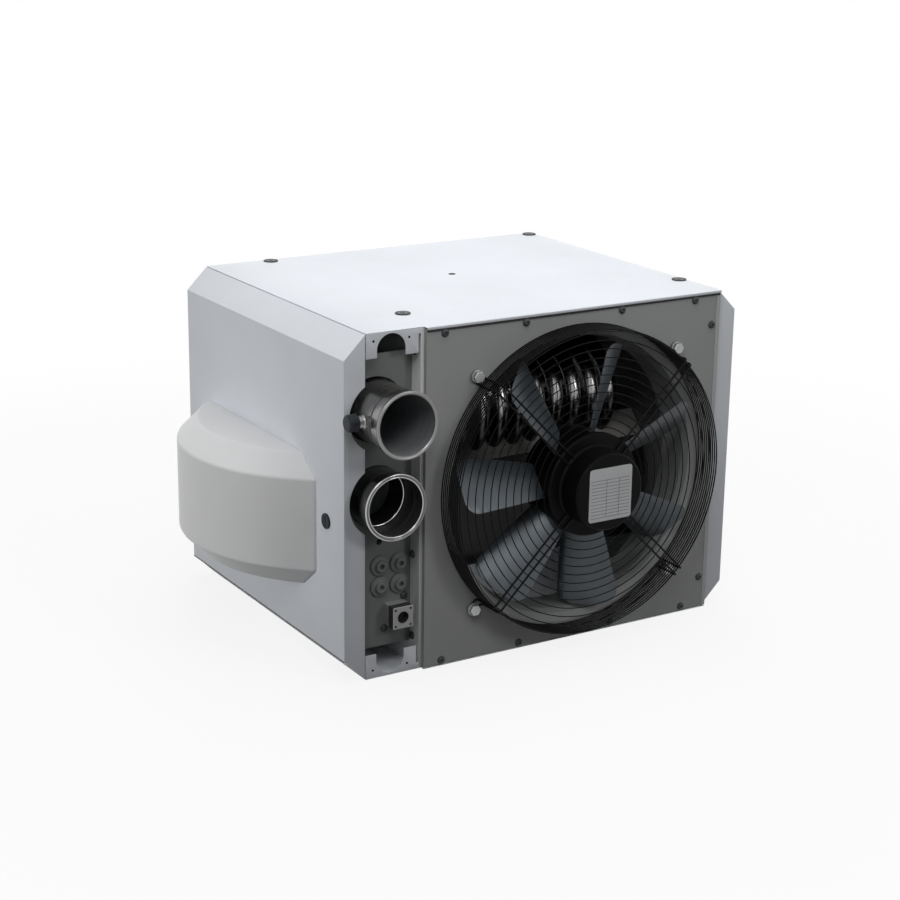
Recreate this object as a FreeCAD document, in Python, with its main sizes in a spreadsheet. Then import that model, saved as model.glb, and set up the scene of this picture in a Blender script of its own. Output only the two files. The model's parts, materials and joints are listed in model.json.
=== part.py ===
"""Gas-fired air heater: a chamfered sheet-metal casing that hangs from four threaded inserts.

Frame, in millimetres: +Z up from the bottom panel, +X towards the service door, +Y towards the
fan, with the origin in the middle of the casing's bottom. Air goes in through the wire guard at
+Y, past the heat exchanger, and out between the louvres at -Y.
"""
import FreeCAD
import Part
import math
import os
import Sketcher
from FreeCAD import Placement, Rotation, Vector

SIZES = [
    ("casing_width", 744, "over the side cover and the door"),
    ("casing_depth", 564, "front panel to rear plane"),
    ("casing_height", 560, "bottom panel to top panel"),
    ("corner_chamfer", 38, "45 degree corners along the sides"),
    ("sheet", 1.5, "casing sheet metal"),
    ("flange", 20, "folded flanges of the walls"),
    ("panel_flange", 16, "folded flange beside the door"),
    ("door_seam", 1.2, "gap between the top panel and the door's edge"),
    ("service_width", 134, "partition wall to the door's face"),
    ("lip_reach", 10, "top panel's lip over the fan plate"),
    ("lip_drop", 4.5, "folded height of that lip"),
    ("lip_gap", 0.5, "fan plate's upper edge under that lip"),
    ("insert_left", 13, "left inserts from the top panel's edge"),
    ("insert_right", 19, "right inserts from the partition wall"),
    ("insert_front", 15, "front inserts from the front panel"),
    ("insert_rear", 89, "rear inserts from the rear plane"),
    ("insert_bore", 4.25, "tapping radius of an M10 insert"),
    ("insert_barrel", 6.5, "insert's barrel radius"),
    ("insert_head", 12.5, "insert's flange radius"),
    ("insert_head_height", 2, "insert's flange thickness"),
    ("insert_length", 17, "insert's barrel length under the panel"),
    ("centre_hole", 4.5, "radius of the hole in the top panel"),
    ("centre_hole_x", -5, "place of the hole in the top panel"),
    ("centre_hole_y", -27, "place of the hole in the top panel"),
    ("plate_gap", 1, "fan plate's left edge from the side cover"),
    ("plate_stop", 5, "fan plate's right edge from the partition wall"),
    ("fan_plate_stand", 8, "fan plate's face beyond the rear plane"),
    ("fan_plate_bottom", 3, "fan plate's lower edge"),
    ("nozzle_land", 27, "plate left above and below the nozzle's mouth"),
    ("nozzle_flare", 18, "inlet nozzle's flare"),
    ("nozzle_depth", 72, "inlet nozzle's length"),
    ("screw_head", 6.5, "pan head radius"),
    ("screw_rim", 1.6, "upright rim of a pan head"),
    ("screw_crown", 3.6, "flat top of a pan head, radius"),
    ("screw_head_height", 4, "pan head height"),
    ("screw_inset", 7, "plate screws from the plate's upper and lower edges"),
    ("screw_left", 52.5, "outer plate screws from the plate's left edge"),
    ("screw_right", 32.5, "outer plate screws from the plate's right edge"),
    ("screw_inner_pitch", 184, "inner plate screws"),
    ("screw_side_inset", 16, "side screws from the plate's edge"),
    ("screw_side_drop", 57, "side screws from the casing's top and bottom"),
    ("recess_screw_out", 7.5, "partition screws beyond the connection plate"),
    ("recess_screw_low", 50, "lowest partition screw"),
    ("recess_screw_middle", 188, "middle partition screw"),
    ("recess_screw_drop", 42, "highest partition screw below the casing's top"),
    ("guard_land", 6, "guard's drum outside the nozzle's mouth"),
    ("guard_depth", 56, "plate to the guard's front"),
    ("wire", 3.5, "guard's hairpin wire"),
    ("ring_wire", 2.4, "guard's ring wire"),
    ("wire_pair", 14, "middle to middle of a hairpin's legs"),
    ("hairpin_gap", 2, "hairpin's start from the motor's cap"),
    ("front_rings", 12, "rings on the guard's front"),
    ("ring_gap", 9.3, "innermost ring's middle from the motor flange"),
    ("side_rings", 10, "rings on the guard's drum"),
    ("side_ring_pitch", 5.2, "spacing of the drum's rings"),
    ("bolt_out", 17.94, "guard bolts outside the guard's drum"),
    ("bolt_flats", 17, "guard bolt across flats"),
    ("bolt_head", 7, "guard bolt head height"),
    ("bolt_shank", 5, "guard bolt shank radius"),
    ("bolt_washer", 10.5, "guard bolt washer radius"),
    ("washer_height", 2, "guard bolt washer"),
    ("stator_radius", 86, "motor flange"),
    ("stator_length", 10, "motor flange"),
    ("cap_radius", 64, "motor end cap"),
    ("cap_length", 45, "motor end cap"),
    ("cap_bevel", 5, "motor end cap's rim"),
    ("shaft_radius", 8, "fan shaft"),
    ("shaft_reach", 30, "fan shaft in the motor"),
    ("shaft_clearance", 0.05, "running clearance of shafts, hinge pins and pivots"),
    ("shaft_end_gap", 1, "bearing's depth beyond a shaft's end"),
    ("rotor_gap", 4, "rotor to motor flange"),
    ("rotor_radius", 80, "external rotor"),
    ("rotor_length", 76, "external rotor"),
    ("rotor_wall", 8, "external rotor"),
    ("blade_count", 7, "fan blades"),
    ("tip_gap", 4, "fan blades to the nozzle's throat"),
    ("blade_sheet", 2.2, "blade thickness"),
    ("blade_root_width", 42, "blade seen along the axis, at the rotor"),
    ("blade_tip_width", 84, "blade seen along the axis, at the tip"),
    ("blade_root_angle", 50, "blade's pitch at the rotor, degrees"),
    ("blade_tip_angle", 38, "blade's pitch at the tip, degrees"),
    ("blade_camber", 9, "depth of the blade's curve"),
    ("blade_corner", 22, "rounded tip corners"),
    ("blade_trim", 12, "blade's blank beyond its trimmed edges"),
    ("blade_start", 8, "first blade from straight down, degrees"),
    ("tube_count", 10, "exchanger tubes"),
    ("tube_radius", 12.5, "exchanger tube"),
    ("tube_wall", 1.5, "exchanger tube"),
    ("tube_pitch", 36.5, "spacing of the exchanger tubes"),
    ("bend_radius", 80, "tube bend"),
    ("bend_y", 70, "middle of the tube bend"),
    ("bend_drop", 199, "middle of the tube bend below the casing's top"),
    ("tube_leg", 100, "straight leg from the bend to the collector"),
    ("leg_angle", 60, "end of the bend above the horizontal, degrees"),
    ("exchanger_wall", 2, "sheet of the combustion chamber and the flue collector"),
    ("chamber_front", -100, "combustion chamber"),
    ("chamber_rear", 150, "combustion chamber"),
    ("chamber_bottom", 90, "combustion chamber"),
    ("shoulder_drop", 41, "combustion chamber's top below the middle of the bend"),
    ("chamber_end_gap", 40, "combustion chamber's end to the left wall"),
    ("chamber_round", 35, "combustion chamber's rounded edges"),
    ("collector_front", -135, "flue collector"),
    ("collector_height", 155, "flue collector"),
    ("collector_drop", 30, "flue collector below the casing's top"),
    ("support_height", 60, "bracket at the chamber's end"),
    ("recess_depth", 27, "connection plate below the rear plane"),
    ("recess_margin", 40, "height of the rear brackets"),
    ("plate_edge_gap", 8, "connection plate's edge to the door's face"),
    ("arch_radius", 25, "cable arch in a rear bracket"),
    ("arch_inset", 82, "cable arch from the door's face"),
    ("arch_land", 4, "sheet left over the arch"),
    ("bracket_relief", 4.5, "rear bracket's corner cut beside the partition wall"),
    ("relief_land", 10.5, "bracket's full width at the casing's edge"),
    ("bracket_hole", 2, "small holes in a rear bracket"),
    ("bracket_hole_pitch", 62, "small holes in a rear bracket"),
    ("bracket_hole_inset", 13.5, "small holes from the casing's top"),
    ("pipe_radius", 49, "flue and air pipes"),
    ("pipe_wall", 1, "flue and air pipes"),
    ("pipe_hole_clear", 3, "hole in the connection plate round the flue"),
    ("hole_clear", 0.5, "other holes round the pipes"),
    ("socket_radius", 50.2, "pipe socket's bore"),
    ("socket_length", 25, "pipe socket's bore"),
    ("bead_radius", 53.5, "rolled bead at a pipe's end"),
    ("bead_length", 8, "rolled bead at a pipe's end"),
    ("flue_inset", 68, "flue outlet from the door's face"),
    ("flue_drop", 128, "flue outlet below the casing's top"),
    ("flue_reach", 78, "flue outlet beyond the rear plane"),
    ("flue_collar_y", -75, "flue collar on the collector"),
    ("air_shift", 2, "combustion air inlet beside the flue's axis"),
    ("air_share", 0.4872, "combustion air inlet's height between the glands and the flue"),
    ("air_reach", 40, "combustion air inlet beyond the rear plane"),
    ("air_inner", 40, "combustion air inlet inside the connection plate"),
    ("seal_height", 2.2, "lip seal in the air inlet"),
    ("seal_width", 6, "lip seal in the air inlet"),
    ("port_radius", 10.5, "flue test port"),
    ("port_bore", 8, "flue test port"),
    ("port_reach", 23, "flue test port beyond the rear plane"),
    ("port_length", 73, "flue test port from the pipe's axis"),
    ("port_cap_radius", 14, "cap of the test port"),
    ("port_cap_length", 17, "cap of the test port"),
    ("port_cap_wall", 3, "end of the cap"),
    ("port_cap_clearance", 0.1, "cap on the test port"),
    ("gland_inset", 94.5, "middle of the cable glands from the door's face"),
    ("gland_z", 159, "middle of the cable glands"),
    ("gland_pitch", 35, "cable glands"),
    ("gland_radius", 16.5, "gland's flange"),
    ("gland_height", 10, "gland over the connection plate"),
    ("gland_foot", 4, "gland's flange"),
    ("gland_dome", 10, "gland's raised middle, radius"),
    ("gland_shoulder", 6, "height where the gland's middle rises"),
    ("gland_crown", 7.5, "gland's flat top, radius"),
    ("gland_mouth", 4, "dimple in the gland"),
    ("gland_dimple", 6, "depth of that dimple"),
    ("spare_hole", 5, "spare cable holes"),
    ("gas_inset", 104, "gas inlet from the door's face"),
    ("gas_z", 94, "gas inlet"),
    ("gas_block", 36, "square gas flange"),
    ("gas_length", 30, "square gas flange"),
    ("gas_bore", 10, "gas inlet's bore radius"),
    ("gas_screw_pitch", 27, "screw holes of the gas flange"),
    ("gas_screw_hole", 2, "screw holes of the gas flange"),
    ("gas_screw_depth", 15, "screw holes of the gas flange"),
    ("gas_pipe", 11, "gas pipe radius"),
    ("gas_pipe_bore", 9, "gas pipe's bore radius"),
    ("outlet_side", 23, "air outlet's side inside the fan plate's width"),
    ("outlet_land", 30, "air outlet from the casing's top and bottom"),
    ("outlet_wall", 2, "outlet frame"),
    ("outlet_rim", 15, "outlet frame's rim on the front panel"),
    ("outlet_reach", 38, "outlet frame in front of the panel"),
    ("outlet_inner", 22, "outlet frame behind the panel"),
    ("outlet_clear", 0.5, "outlet frame in the front panel"),
    ("louvre_count", 8, "louvres"),
    ("louvre_margin", 12, "outlet height left beside the louvres"),
    ("louvre_lap", 3, "louvre blade narrower than the louvres' spacing"),
    ("louvre_thick", 5, "louvre blade's middle"),
    ("louvre_edge", 1.2, "louvre blade's edges"),
    ("louvre_waist", 16, "louvre blade's thick middle"),
    ("louvre_pivot", 2.5, "louvre's pivot radius"),
    ("louvre_forward", 8, "louvre pivots in front of the panel"),
    ("louvre_end_gap", 0.6, "louvre's end to the frame"),
    ("hood_sink", 150, "upright axis of the hood's curve behind the door's face"),
    ("hood_y", -26, "upright axis of the hood's curve"),
    ("hood_radius", 264, "hood's curve"),
    ("hood_drop", 94, "hood's bottom below the burner's axis"),
    ("hood_rise", 125, "hood's top above the burner's axis"),
    ("hood_chamfer", 34, "hood's sloped edges"),
    ("hood_round", 14, "hood's softened edges"),
    ("hood_wall", 3, "hood's plastic wall"),
    ("window_width", 250, "opening in the door behind the hood"),
    ("window_height", 160, "opening in the door behind the hood"),
    ("notch_clear", 9.5, "door's notch round the flue pipe"),
    ("notch_drop", 4, "middle of that notch below the flue's axis"),
    ("air_notch_clear", 11, "door's notch round the air inlet"),
    ("hinge_inset", 6.5, "door hinge axis from the casing's front corner"),
    ("hinge_pin", 2, "door hinge pin"),
    ("knuckle", 4, "door hinge knuckle"),
    ("knuckle_length", 25, "door hinge knuckle"),
    ("knuckle_gap", 0.4, "between two knuckles"),
    ("hinge_leaf", 2, "door hinge leaf"),
    ("hinge_pad", 35, "casing leaf's length on the front panel"),
    ("hinge_plate", 30, "door leaf's length on the door"),
    ("pin_short", 2, "hinge pin's end below the knuckle's end"),
    ("hinge_low", 110, "lower door hinge"),
    ("hinge_drop", 110, "upper door hinge below the casing's top"),
    ("hinge_notch", 4, "door's flange round a hinge"),
    ("lock_inset", 57, "door lock from the rear plane"),
    ("lock_drop", 38, "door lock below the air inlet's axis"),
    ("lock_disc", 12.5, "door lock's face"),
    ("lock_face", 2.5, "door lock's face"),
    ("lock_barrel", 8, "door lock's barrel"),
    ("lock_depth", 22, "door lock's barrel behind the door"),
    ("slot_length", 15, "key slot in the lock's face"),
    ("slot_width", 2, "key slot in the lock's face"),
    ("slot_depth", 1.2, "key slot in the lock's face"),
    ("cam_length", 24, "lock's cam"),
    ("cam_width", 12, "lock's cam"),
    ("cam_thick", 3, "lock's cam"),
    ("keeper_gap", 1, "keeper to the turned cam"),
    ("keeper_overlap", 14, "keeper's edge over the turned cam"),
    ("burner_y", -30, "burner's axis"),
    ("burner_rise", 15, "burner's axis above the combustion chamber's middle"),
    ("burner_flange", 140, "square burner flange"),
    ("burner_flange_thick", 5, "square burner flange"),
    ("burner_round", 20, "rounded corners of the burner flange"),
    ("burner_hole", 45, "burner's hole in the partition"),
    ("blower_inset", 40, "blower's upright axis from the door's face"),
    ("blower_y", 20, "blower's upright axis"),
    ("blower_radius", 72, "blower housing"),
    ("blower_height", 52, "blower housing"),
    ("blower_wall", 3, "blower housing"),
    ("blower_mouth", 30, "blower's inlet"),
    ("impeller_radius", 60, "blower wheel"),
    ("impeller_height", 34, "blower wheel"),
    ("impeller_disc", 3, "blower wheel's back plate"),
    ("impeller_vanes", 12, "blower wheel's vanes"),
    ("vane_inset", 1, "vanes from the back plate's rim"),
    ("impeller_shaft", 4, "blower's shaft"),
    ("blower_motor_radius", 42, "blower motor"),
    ("blower_motor_height", 55, "blower motor"),
    ("mixer_height", 42, "air and gas mixer under the blower"),
    ("valve_width", 90, "gas valve"),
    ("valve_depth", 70, "gas valve"),
    ("valve_height", 72, "gas valve"),
    ("valve_y", 132, "gas valve's rear face"),
    ("valve_offset", 22.5, "gas valve's side from the gas pipe's axis"),
    ("coil_offset", 38, "gas valve's coil from the gas pipe's axis"),
    ("coil_inset", 23, "gas valve's coil from the valve's rear face"),
    ("coil_radius", 16, "gas valve's coil"),
    ("coil_height", 34, "gas valve's coil"),
    ("feed_radius", 7, "gas feed pipe"),
    ("feed_corner_radius", 9, "gas feed pipe's bends"),
    ("feed_height", 22, "gas feed pipe below the blower"),
    ("control_gap", 16, "burner control box to the flue elbow"),
    ("control_height", 170, "burner control box"),
    ("control_depth", 58, "burner control box"),
    ("control_inset", 27, "burner control box from the front panel"),
    ("control_drop", 250, "burner control box below the casing's top"),
    ("control_round", 6, "bevelled edges of the control box"),
    ("switch_radius", 32, "air pressure switch"),
    ("switch_depth", 34, "air pressure switch"),
    ("switch_cap", 16, "narrow outer half of the pressure switch, radius"),
    ("switch_base", 17, "wide inner half of the pressure switch"),
    ("switch_inset", 92, "air pressure switch from the front panel"),
    ("switch_z", 130, "air pressure switch"),
    ("thermostat_radius", 9, "limit thermostat"),
    ("thermostat_depth", 20, "limit thermostat"),
    ("thermostat_flange", 14, "limit thermostat's flange radius"),
    ("thermostat_plate", 3, "limit thermostat's flange"),
    ("thermostat_y", 120, "limit thermostat"),
    ("thermostat_drop", 82, "limit thermostat below the flue's axis"),
    ("electrode_radius", 5, "ignition electrode"),
    ("electrode_length", 34, "ignition electrode"),
    ("electrode_foot", 8, "ignition electrode's foot radius"),
    ("electrode_seat", 7, "height of the ignition electrode's foot"),
    ("electrode_tip", 2.5, "ignition electrode's end radius"),
    ("electrode_inset", 23, "ignition electrode from the burner flange's corner"),
]

DERIVED = [
    ("partition_x", "casing_width / 2 - service_width", "service-side face of the partition wall"),
    ("top_reach", "casing_width / 2 - corner_chamfer", "top panel's edge from the middle"),
    ("fan_plate_width", "top_reach - plate_gap + partition_x - plate_stop", "fan plate"),
    ("fan_x", "fan_plate_width / 2 + plate_gap - top_reach", "fan axis"),
    ("fan_z", "casing_height / 2", "fan axis"),
    ("fan_plate_height", "casing_height - lip_drop - lip_gap - fan_plate_bottom", "fan plate"),
    ("nozzle_mouth", "min(fan_plate_width; fan_plate_height) / 2 - nozzle_land", "inlet nozzle's mouth"),
    ("nozzle_throat", "nozzle_mouth - nozzle_flare", "inlet nozzle's throat radius"),
    ("blade_tip", "nozzle_throat - tip_gap", "fan radius"),
    ("guard_radius", "nozzle_mouth + guard_land", "drum of the guard"),
    ("ring_span", "guard_radius - wire - stator_radius - ring_gap", "outermost to innermost front ring"),
    ("front_ring_pitch", "ring_span / (front_rings - 1)", "spacing of the front rings"),
    ("bolt_offset", "(guard_radius + bolt_out) / sqrt(2)", "guard bolts from the fan axis, both ways"),
    ("screw_outer_pitch", "fan_plate_width - screw_left - screw_right", "outer plate screws"),
    ("screw_middle_x", "fan_x + (screw_left - screw_right) / 2", "middle of the plate screws"),
    ("screw_side_pitch", "casing_height - 2 * screw_side_drop", "side screws"),
    ("suspension_pitch_x", "top_reach - insert_left + partition_x - insert_right", "threaded inserts"),
    ("suspension_pitch_y", "casing_depth - insert_front - insert_rear", "threaded inserts"),
    ("suspension_x", "suspension_pitch_x / 2 + insert_left - top_reach", "middle of the inserts"),
    ("suspension_y", "(insert_front - insert_rear) / 2", "middle of the inserts"),
    ("outlet_width", "fan_plate_width - 2 * outlet_side", "air outlet"),
    ("outlet_height", "casing_height - 2 * outlet_land", "air outlet"),
    ("louvre_pitch", "(outlet_height - louvre_margin) / louvre_count", "spacing of the louvres"),
    ("louvre_chord", "louvre_pitch - louvre_lap", "louvre blade"),
    ("collector_top", "casing_height - collector_drop", "flue collector"),
    ("collector_bottom", "collector_top - collector_height", "flue collector"),
    ("bend_z", "casing_height - bend_drop", "middle of the tube bend"),
    ("chamber_top", "bend_z - shoulder_drop", "combustion chamber"),
    ("burner_z", "(chamber_bottom + chamber_top) / 2 + burner_rise", "burner's axis"),
    ("hood_x", "casing_width / 2 - hood_sink", "upright axis of the hood's curve"),
    ("hood_bottom", "burner_z - hood_drop", "hood"),
    ("hood_top", "burner_z + hood_rise", "hood"),
    ("arch_x", "casing_width / 2 - arch_inset", "cable arch"),
    ("flue_x", "casing_width / 2 - flue_inset", "flue outlet"),
    ("flue_z", "casing_height - flue_drop", "flue outlet"),
    ("air_x", "flue_x - air_shift", "combustion air inlet"),
    ("air_z", "gland_z + (flue_z - gland_z) * air_share", "combustion air inlet"),
    ("gland_x", "casing_width / 2 - gland_inset", "middle of the cable glands"),
    ("gland_top", "gland_z + gland_pitch / 2 + gland_radius", "upper edge of the cable glands"),
    ("spare_hole_z", "(air_z - bead_radius + gland_top) / 2", "spare cable holes"),
    ("gas_x", "casing_width / 2 - gas_inset", "gas inlet"),
    ("recess_screw_high", "casing_height - recess_screw_drop", "highest partition screw"),
    ("hinge_high", "casing_height - hinge_drop", "upper door hinge"),
    ("lock_y", "casing_depth / 2 - lock_inset", "door lock"),
    ("lock_z", "air_z - lock_drop", "door lock"),
    ("blower_x", "casing_width / 2 - blower_inset", "blower's upright axis"),
    ("control_y", "control_inset - casing_depth / 2", "burner control box"),
    ("control_width", "flue_collar_y - pipe_radius - control_gap - control_y", "burner control box"),
    ("control_z", "casing_height - control_drop", "burner control box"),
    ("switch_y", "switch_inset - casing_depth / 2", "air pressure switch"),
    ("thermostat_z", "flue_z - thermostat_drop", "limit thermostat"),
]

GUARD_SIDES = 28
TUBE_SIDES = 8
TUBE_BEND_STEPS = 6
ELBOW_SIDES = 24
ELBOW_GORES = 4
SMALL_SIDES = 12
HIDDEN_SIDES = 24
SHOULDER_ANGLE = -45

ALONG_X = Rotation(Vector(0, 1, 0), 90)
ALONG_Y = Rotation(Vector(1, 0, 0), -90)
UPRIGHT = Rotation()


class Dim:
    """A size that keeps its number together with the sheet formula that gives it."""

    def __init__(self, number, formula):
        self.number = number
        self.formula = formula

    def __float__(self):
        return self.number

    def __neg__(self):
        return Dim(-self.number, f"-({self.formula})")

    def __add__(self, other):
        other = dim(other)
        return Dim(self.number + other.number, f"({self.formula} + {other.formula})")

    def __sub__(self, other):
        other = dim(other)
        return Dim(self.number - other.number, f"({self.formula} - {other.formula})")

    def __rsub__(self, other):
        return dim(other) - self

    def __mul__(self, other):
        other = dim(other)
        return Dim(self.number * other.number, f"({self.formula} * {other.formula})")

    def __truediv__(self, other):
        other = dim(other)
        return Dim(self.number / other.number, f"({self.formula} / {other.formula})")

    __radd__ = __add__
    __rmul__ = __mul__


def dim(size):
    return size if isinstance(size, Dim) else Dim(float(size), f"({float(size)!r})")


class Sizes:
    """Gives the sheet's cells by their aliases."""

    def __init__(self, table):
        self.table = table

    def __getattr__(self, alias):
        return Dim(float(self.table.get(alias)), f"Sizes.{alias}")


doc = FreeCAD.newDocument("air_heater")
cells = doc.addObject("Spreadsheet::Sheet", "Sizes")
for row, (alias, number, note) in enumerate(SIZES, start=1):
    cells.set(f"A{row}", note)
    cells.set(f"B{row}", str(number))
    cells.setAlias(f"B{row}", alias)
for row, (alias, formula, note) in enumerate(DERIVED, start=len(SIZES) + 1):
    cells.set(f"A{row}", note)
    cells.set(f"B{row}", f"={formula}")
    cells.setAlias(f"B{row}", alias)
doc.recompute()
mm = Sizes(cells)
sub_parts = []

# Planes and edges that several pieces share
half_width = mm.casing_width / 2
half_depth = mm.casing_depth / 2
height = mm.casing_height
shoulder = half_width - mm.corner_chamfer
inner_top = height - mm.sheet
inner_front = mm.sheet - half_depth
air_left = mm.sheet - shoulder
air_right = mm.partition_x - mm.sheet
plate_left = mm.fan_x - mm.fan_plate_width / 2
plate_right = mm.fan_x + mm.fan_plate_width / 2
plate_face = half_depth + mm.fan_plate_stand
plate_top = height - mm.lip_drop - mm.lip_gap
guard_front = plate_face + mm.guard_depth
recess_face = half_depth - mm.recess_depth
recess_back = recess_face - mm.sheet
door_edge = shoulder + mm.door_seam
door_inside = half_width - mm.sheet
hinge_x = half_width - mm.hinge_inset
hinge_y = mm.hinge_inset - half_depth


# Helpers

def bind(item, name, size):
    item.setExpression(name, dim(size).formula)


def place(item, x, y, z, turn):
    item.Placement = Placement(Vector(float(x), float(y), float(z)), turn)
    for axis, distance in zip("xyz", (x, y, z)):
        bind(item, f"Placement.Base.{axis}", distance)


def new_body(label, x=0, y=0, z=0, turn=UPRIGHT):
    body = doc.addObject("PartDesign::Body", label)
    body.Label = label
    place(body, x, y, z, turn)
    sub_parts.append(body)
    return body


def shape_part(label, shape, x=0, y=0, z=0, turn=UPRIGHT):
    item = doc.addObject("Part::Feature", label)
    item.Label = label
    item.Shape = shape
    place(item, x, y, z, turn)
    sub_parts.append(item)
    return item


def polygon(sketch, corners):
    """A closed outline whose corners are held by their distances from the origin."""
    first = sketch.GeometryCount
    points = [Vector(float(u), float(v), 0) for u, v in corners]
    for start, end in zip(points, points[1:] + points[:1]):
        sketch.addGeometry(Part.LineSegment(start, end))
    for i, corner in enumerate(corners):
        before = first + (i - 1) % len(corners)
        sketch.addConstraint(Sketcher.Constraint("Coincident", before, 2, first + i, 1))
        hold_point(sketch, first + i, 1, corner)


def circle(sketch, u, v, radius):
    centre = Vector(float(u), float(v), 0)
    index = sketch.addGeometry(Part.Circle(centre, Vector(0, 0, 1), float(radius)))
    hold_point(sketch, index, 3, (u, v))
    number = sketch.addConstraint(Sketcher.Constraint("Radius", index, float(radius)))
    bind(sketch, f"Constraints[{number}]", radius)


def hold_point(sketch, index, vertex, corner):
    for kind, size in zip(("DistanceX", "DistanceY"), corner):
        number = sketch.addConstraint(Sketcher.Constraint(kind, -1, 1, index, vertex, float(size)))
        bind(sketch, f"Constraints[{number}]", size)


def profile_on(body, plane, start, loops):
    """A sketch on one of the body's planes, a distance along that plane's axis."""
    sketch = body.newObject("Sketcher::SketchObject", f"{body.Name}_profile")
    origin = next(item for item in body.Origin.OriginFeatures if item.Role == f"{plane}_Plane")
    sketch.AttachmentSupport = [(origin, "")]
    sketch.MapMode = "FlatFace"
    bind(sketch, "AttachmentOffset.Base.z", -dim(start) if plane == "XZ" else start)
    for loop in loops:
        if isinstance(loop, list):
            polygon(sketch, loop)
        else:
            circle(sketch, *loop)
    return sketch


def pad(body, plane, start, length, *loops):
    """Adds a profile drawn out towards the plane's positive axis."""
    feature_profile = profile_on(body, plane, start, loops)
    feature = body.newObject("PartDesign::Pad", f"{body.Name}_pad")
    feature.Profile = feature_profile
    bind(feature, "Length", length)
    feature.Reversed = plane == "XZ"


def pocket(body, plane, start, length, *loops):
    """Cuts a profile drawn out towards the plane's positive axis."""
    feature_profile = profile_on(body, plane, start, loops)
    feature = body.newObject("PartDesign::Pocket", f"{body.Name}_pocket")
    feature.Profile = feature_profile
    bind(feature, "Length", length)
    feature.Reversed = plane != "XZ"


def revolve(body, *loops):
    """Adds a profile of radius and height turned about the body's own upright axis."""
    feature_profile = profile_on(body, "XZ", 0, loops)
    feature = body.newObject("PartDesign::Revolution", f"{body.Name}_turned")
    feature.Profile = feature_profile
    feature.ReferenceAxis = (feature_profile, ["V_Axis"])
    feature.Angle = 360


def groove(body, *loops):
    feature_profile = profile_on(body, "XZ", 0, loops)
    feature = body.newObject("PartDesign::Groove", f"{body.Name}_groove")
    feature.Profile = feature_profile
    feature.ReferenceAxis = (feature_profile, ["V_Axis"])
    feature.Angle = 360


def fillet(body, radius, wanted):
    """Rounds the edges that the test picks."""
    doc.recompute()
    edges = [f"Edge{i}" for i, edge in enumerate(body.Shape.Edges, start=1) if wanted(edge)]
    base = body.Tip
    feature = body.newObject("PartDesign::Fillet", f"{body.Name}_fillet")
    feature.Base = (base, edges)
    bind(feature, "Radius", radius)


def box_loop(left, right, low, high):
    return [(left, low), (right, low), (right, high), (left, high)]


def cylinder(radius, length, x=0, y=0, z=0, direction=Vector(0, 0, 1)):
    return Part.makeCylinder(float(radius), float(length), Vector(float(x), float(y), float(z)), direction)


def prism(corners, depth):
    """A straight solid on a flat outline given as vectors, drawn out by a vector."""
    return Part.Face(Part.makePolygon(corners + corners[:1])).extrude(depth)


def joined(shapes):
    return shapes[0].multiFuse(shapes[1:]).removeSplitter()


def turned(profile, sides):
    """A many-sided turning of a closed (radius, height) outline, for small or hidden round pieces."""
    profile = [(float(r), float(h)) for r, h in profile]
    turns = [2 * math.pi * i / sides for i in range(sides + 1)]
    rays = [Vector(math.cos(a), math.sin(a), 0) for a in turns]
    up = Vector(0, 0, 1)
    faces = []
    for first, second in zip(rays, rays[1:]):
        for (r0, h0), (r1, h1) in zip(profile, profile[1:] + profile[:1]):
            corners = [first * r0 + up * h0, second * r0 + up * h0]
            corners += [second * r1 + up * h1, first * r1 + up * h1]
            corners = [a for a, b in zip(corners, corners[1:] + corners[:1]) if a.distanceToPoint(b) > 1e-6]
            if len(corners) > 2:
                faces.append(Part.Face(Part.makePolygon(corners + corners[:1])))
    return Part.Solid(Part.Shell(faces)).removeSplitter()


def mitred_tube(corners, radius, sides, start_normal=None):
    """A many-sided tube along straight runs, mitred where they meet."""
    runs = [(b - a).normalize() for a, b in zip(corners, corners[1:])]
    side = runs[0].cross(Vector(1, 0, 0))
    if side.Length < 1e-6:
        side = Vector(0, 1, 0)
    side.normalize()
    across = runs[0].cross(side)
    turns = [2 * math.pi * (i + 0.5) / sides for i in range(sides)]
    start = [corners[0] + side * (radius * math.cos(a)) + across * (radius * math.sin(a)) for a in turns]
    planes = [start_normal or runs[0]] + [a + b for a, b in zip(runs, runs[1:])] + [runs[-1]]
    sections = []
    for corner, normal, run in zip(corners, planes, runs[:1] + runs):
        before = sections[-1] if sections else start
        sections.append([point + run * ((corner - point).dot(normal) / run.dot(normal)) for point in before])
    loops = [sections[0], sections[-1]]
    for low, high in zip(sections, sections[1:]):
        quads = zip(low, low[1:] + low[:1], high[1:] + high[:1], high)
        loops += [list(quad) for quad in quads]
    faces = [Part.Face(Part.makePolygon(loop + loop[:1])) for loop in loops]
    return Part.Solid(Part.Shell(faces))


# Casing

def make_top_panel():
    body = new_body("top_panel")
    outline = [(-shoulder, -half_depth), (shoulder, -half_depth), (shoulder, half_depth)]
    outline += [(plate_right, half_depth), (plate_right, half_depth + mm.lip_reach)]
    outline += [(-shoulder, half_depth + mm.lip_reach)]
    holes = [(x, y, mm.insert_barrel) for x, y in suspension_points()]
    holes.append((mm.centre_hole_x, mm.centre_hole_y, mm.centre_hole))
    pad(body, "XY", inner_top, mm.sheet, outline, *holes)
    lip_end = half_depth + mm.lip_reach
    lip = box_loop(-shoulder, plate_right, lip_end - mm.sheet, lip_end)
    pad(body, "XY", height - mm.lip_drop, mm.lip_drop - mm.sheet, lip)
    rest = box_loop(shoulder - mm.sheet, shoulder, inner_front, half_depth - mm.sheet)
    pad(body, "XY", inner_top - mm.panel_flange, mm.panel_flange, rest)


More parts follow.
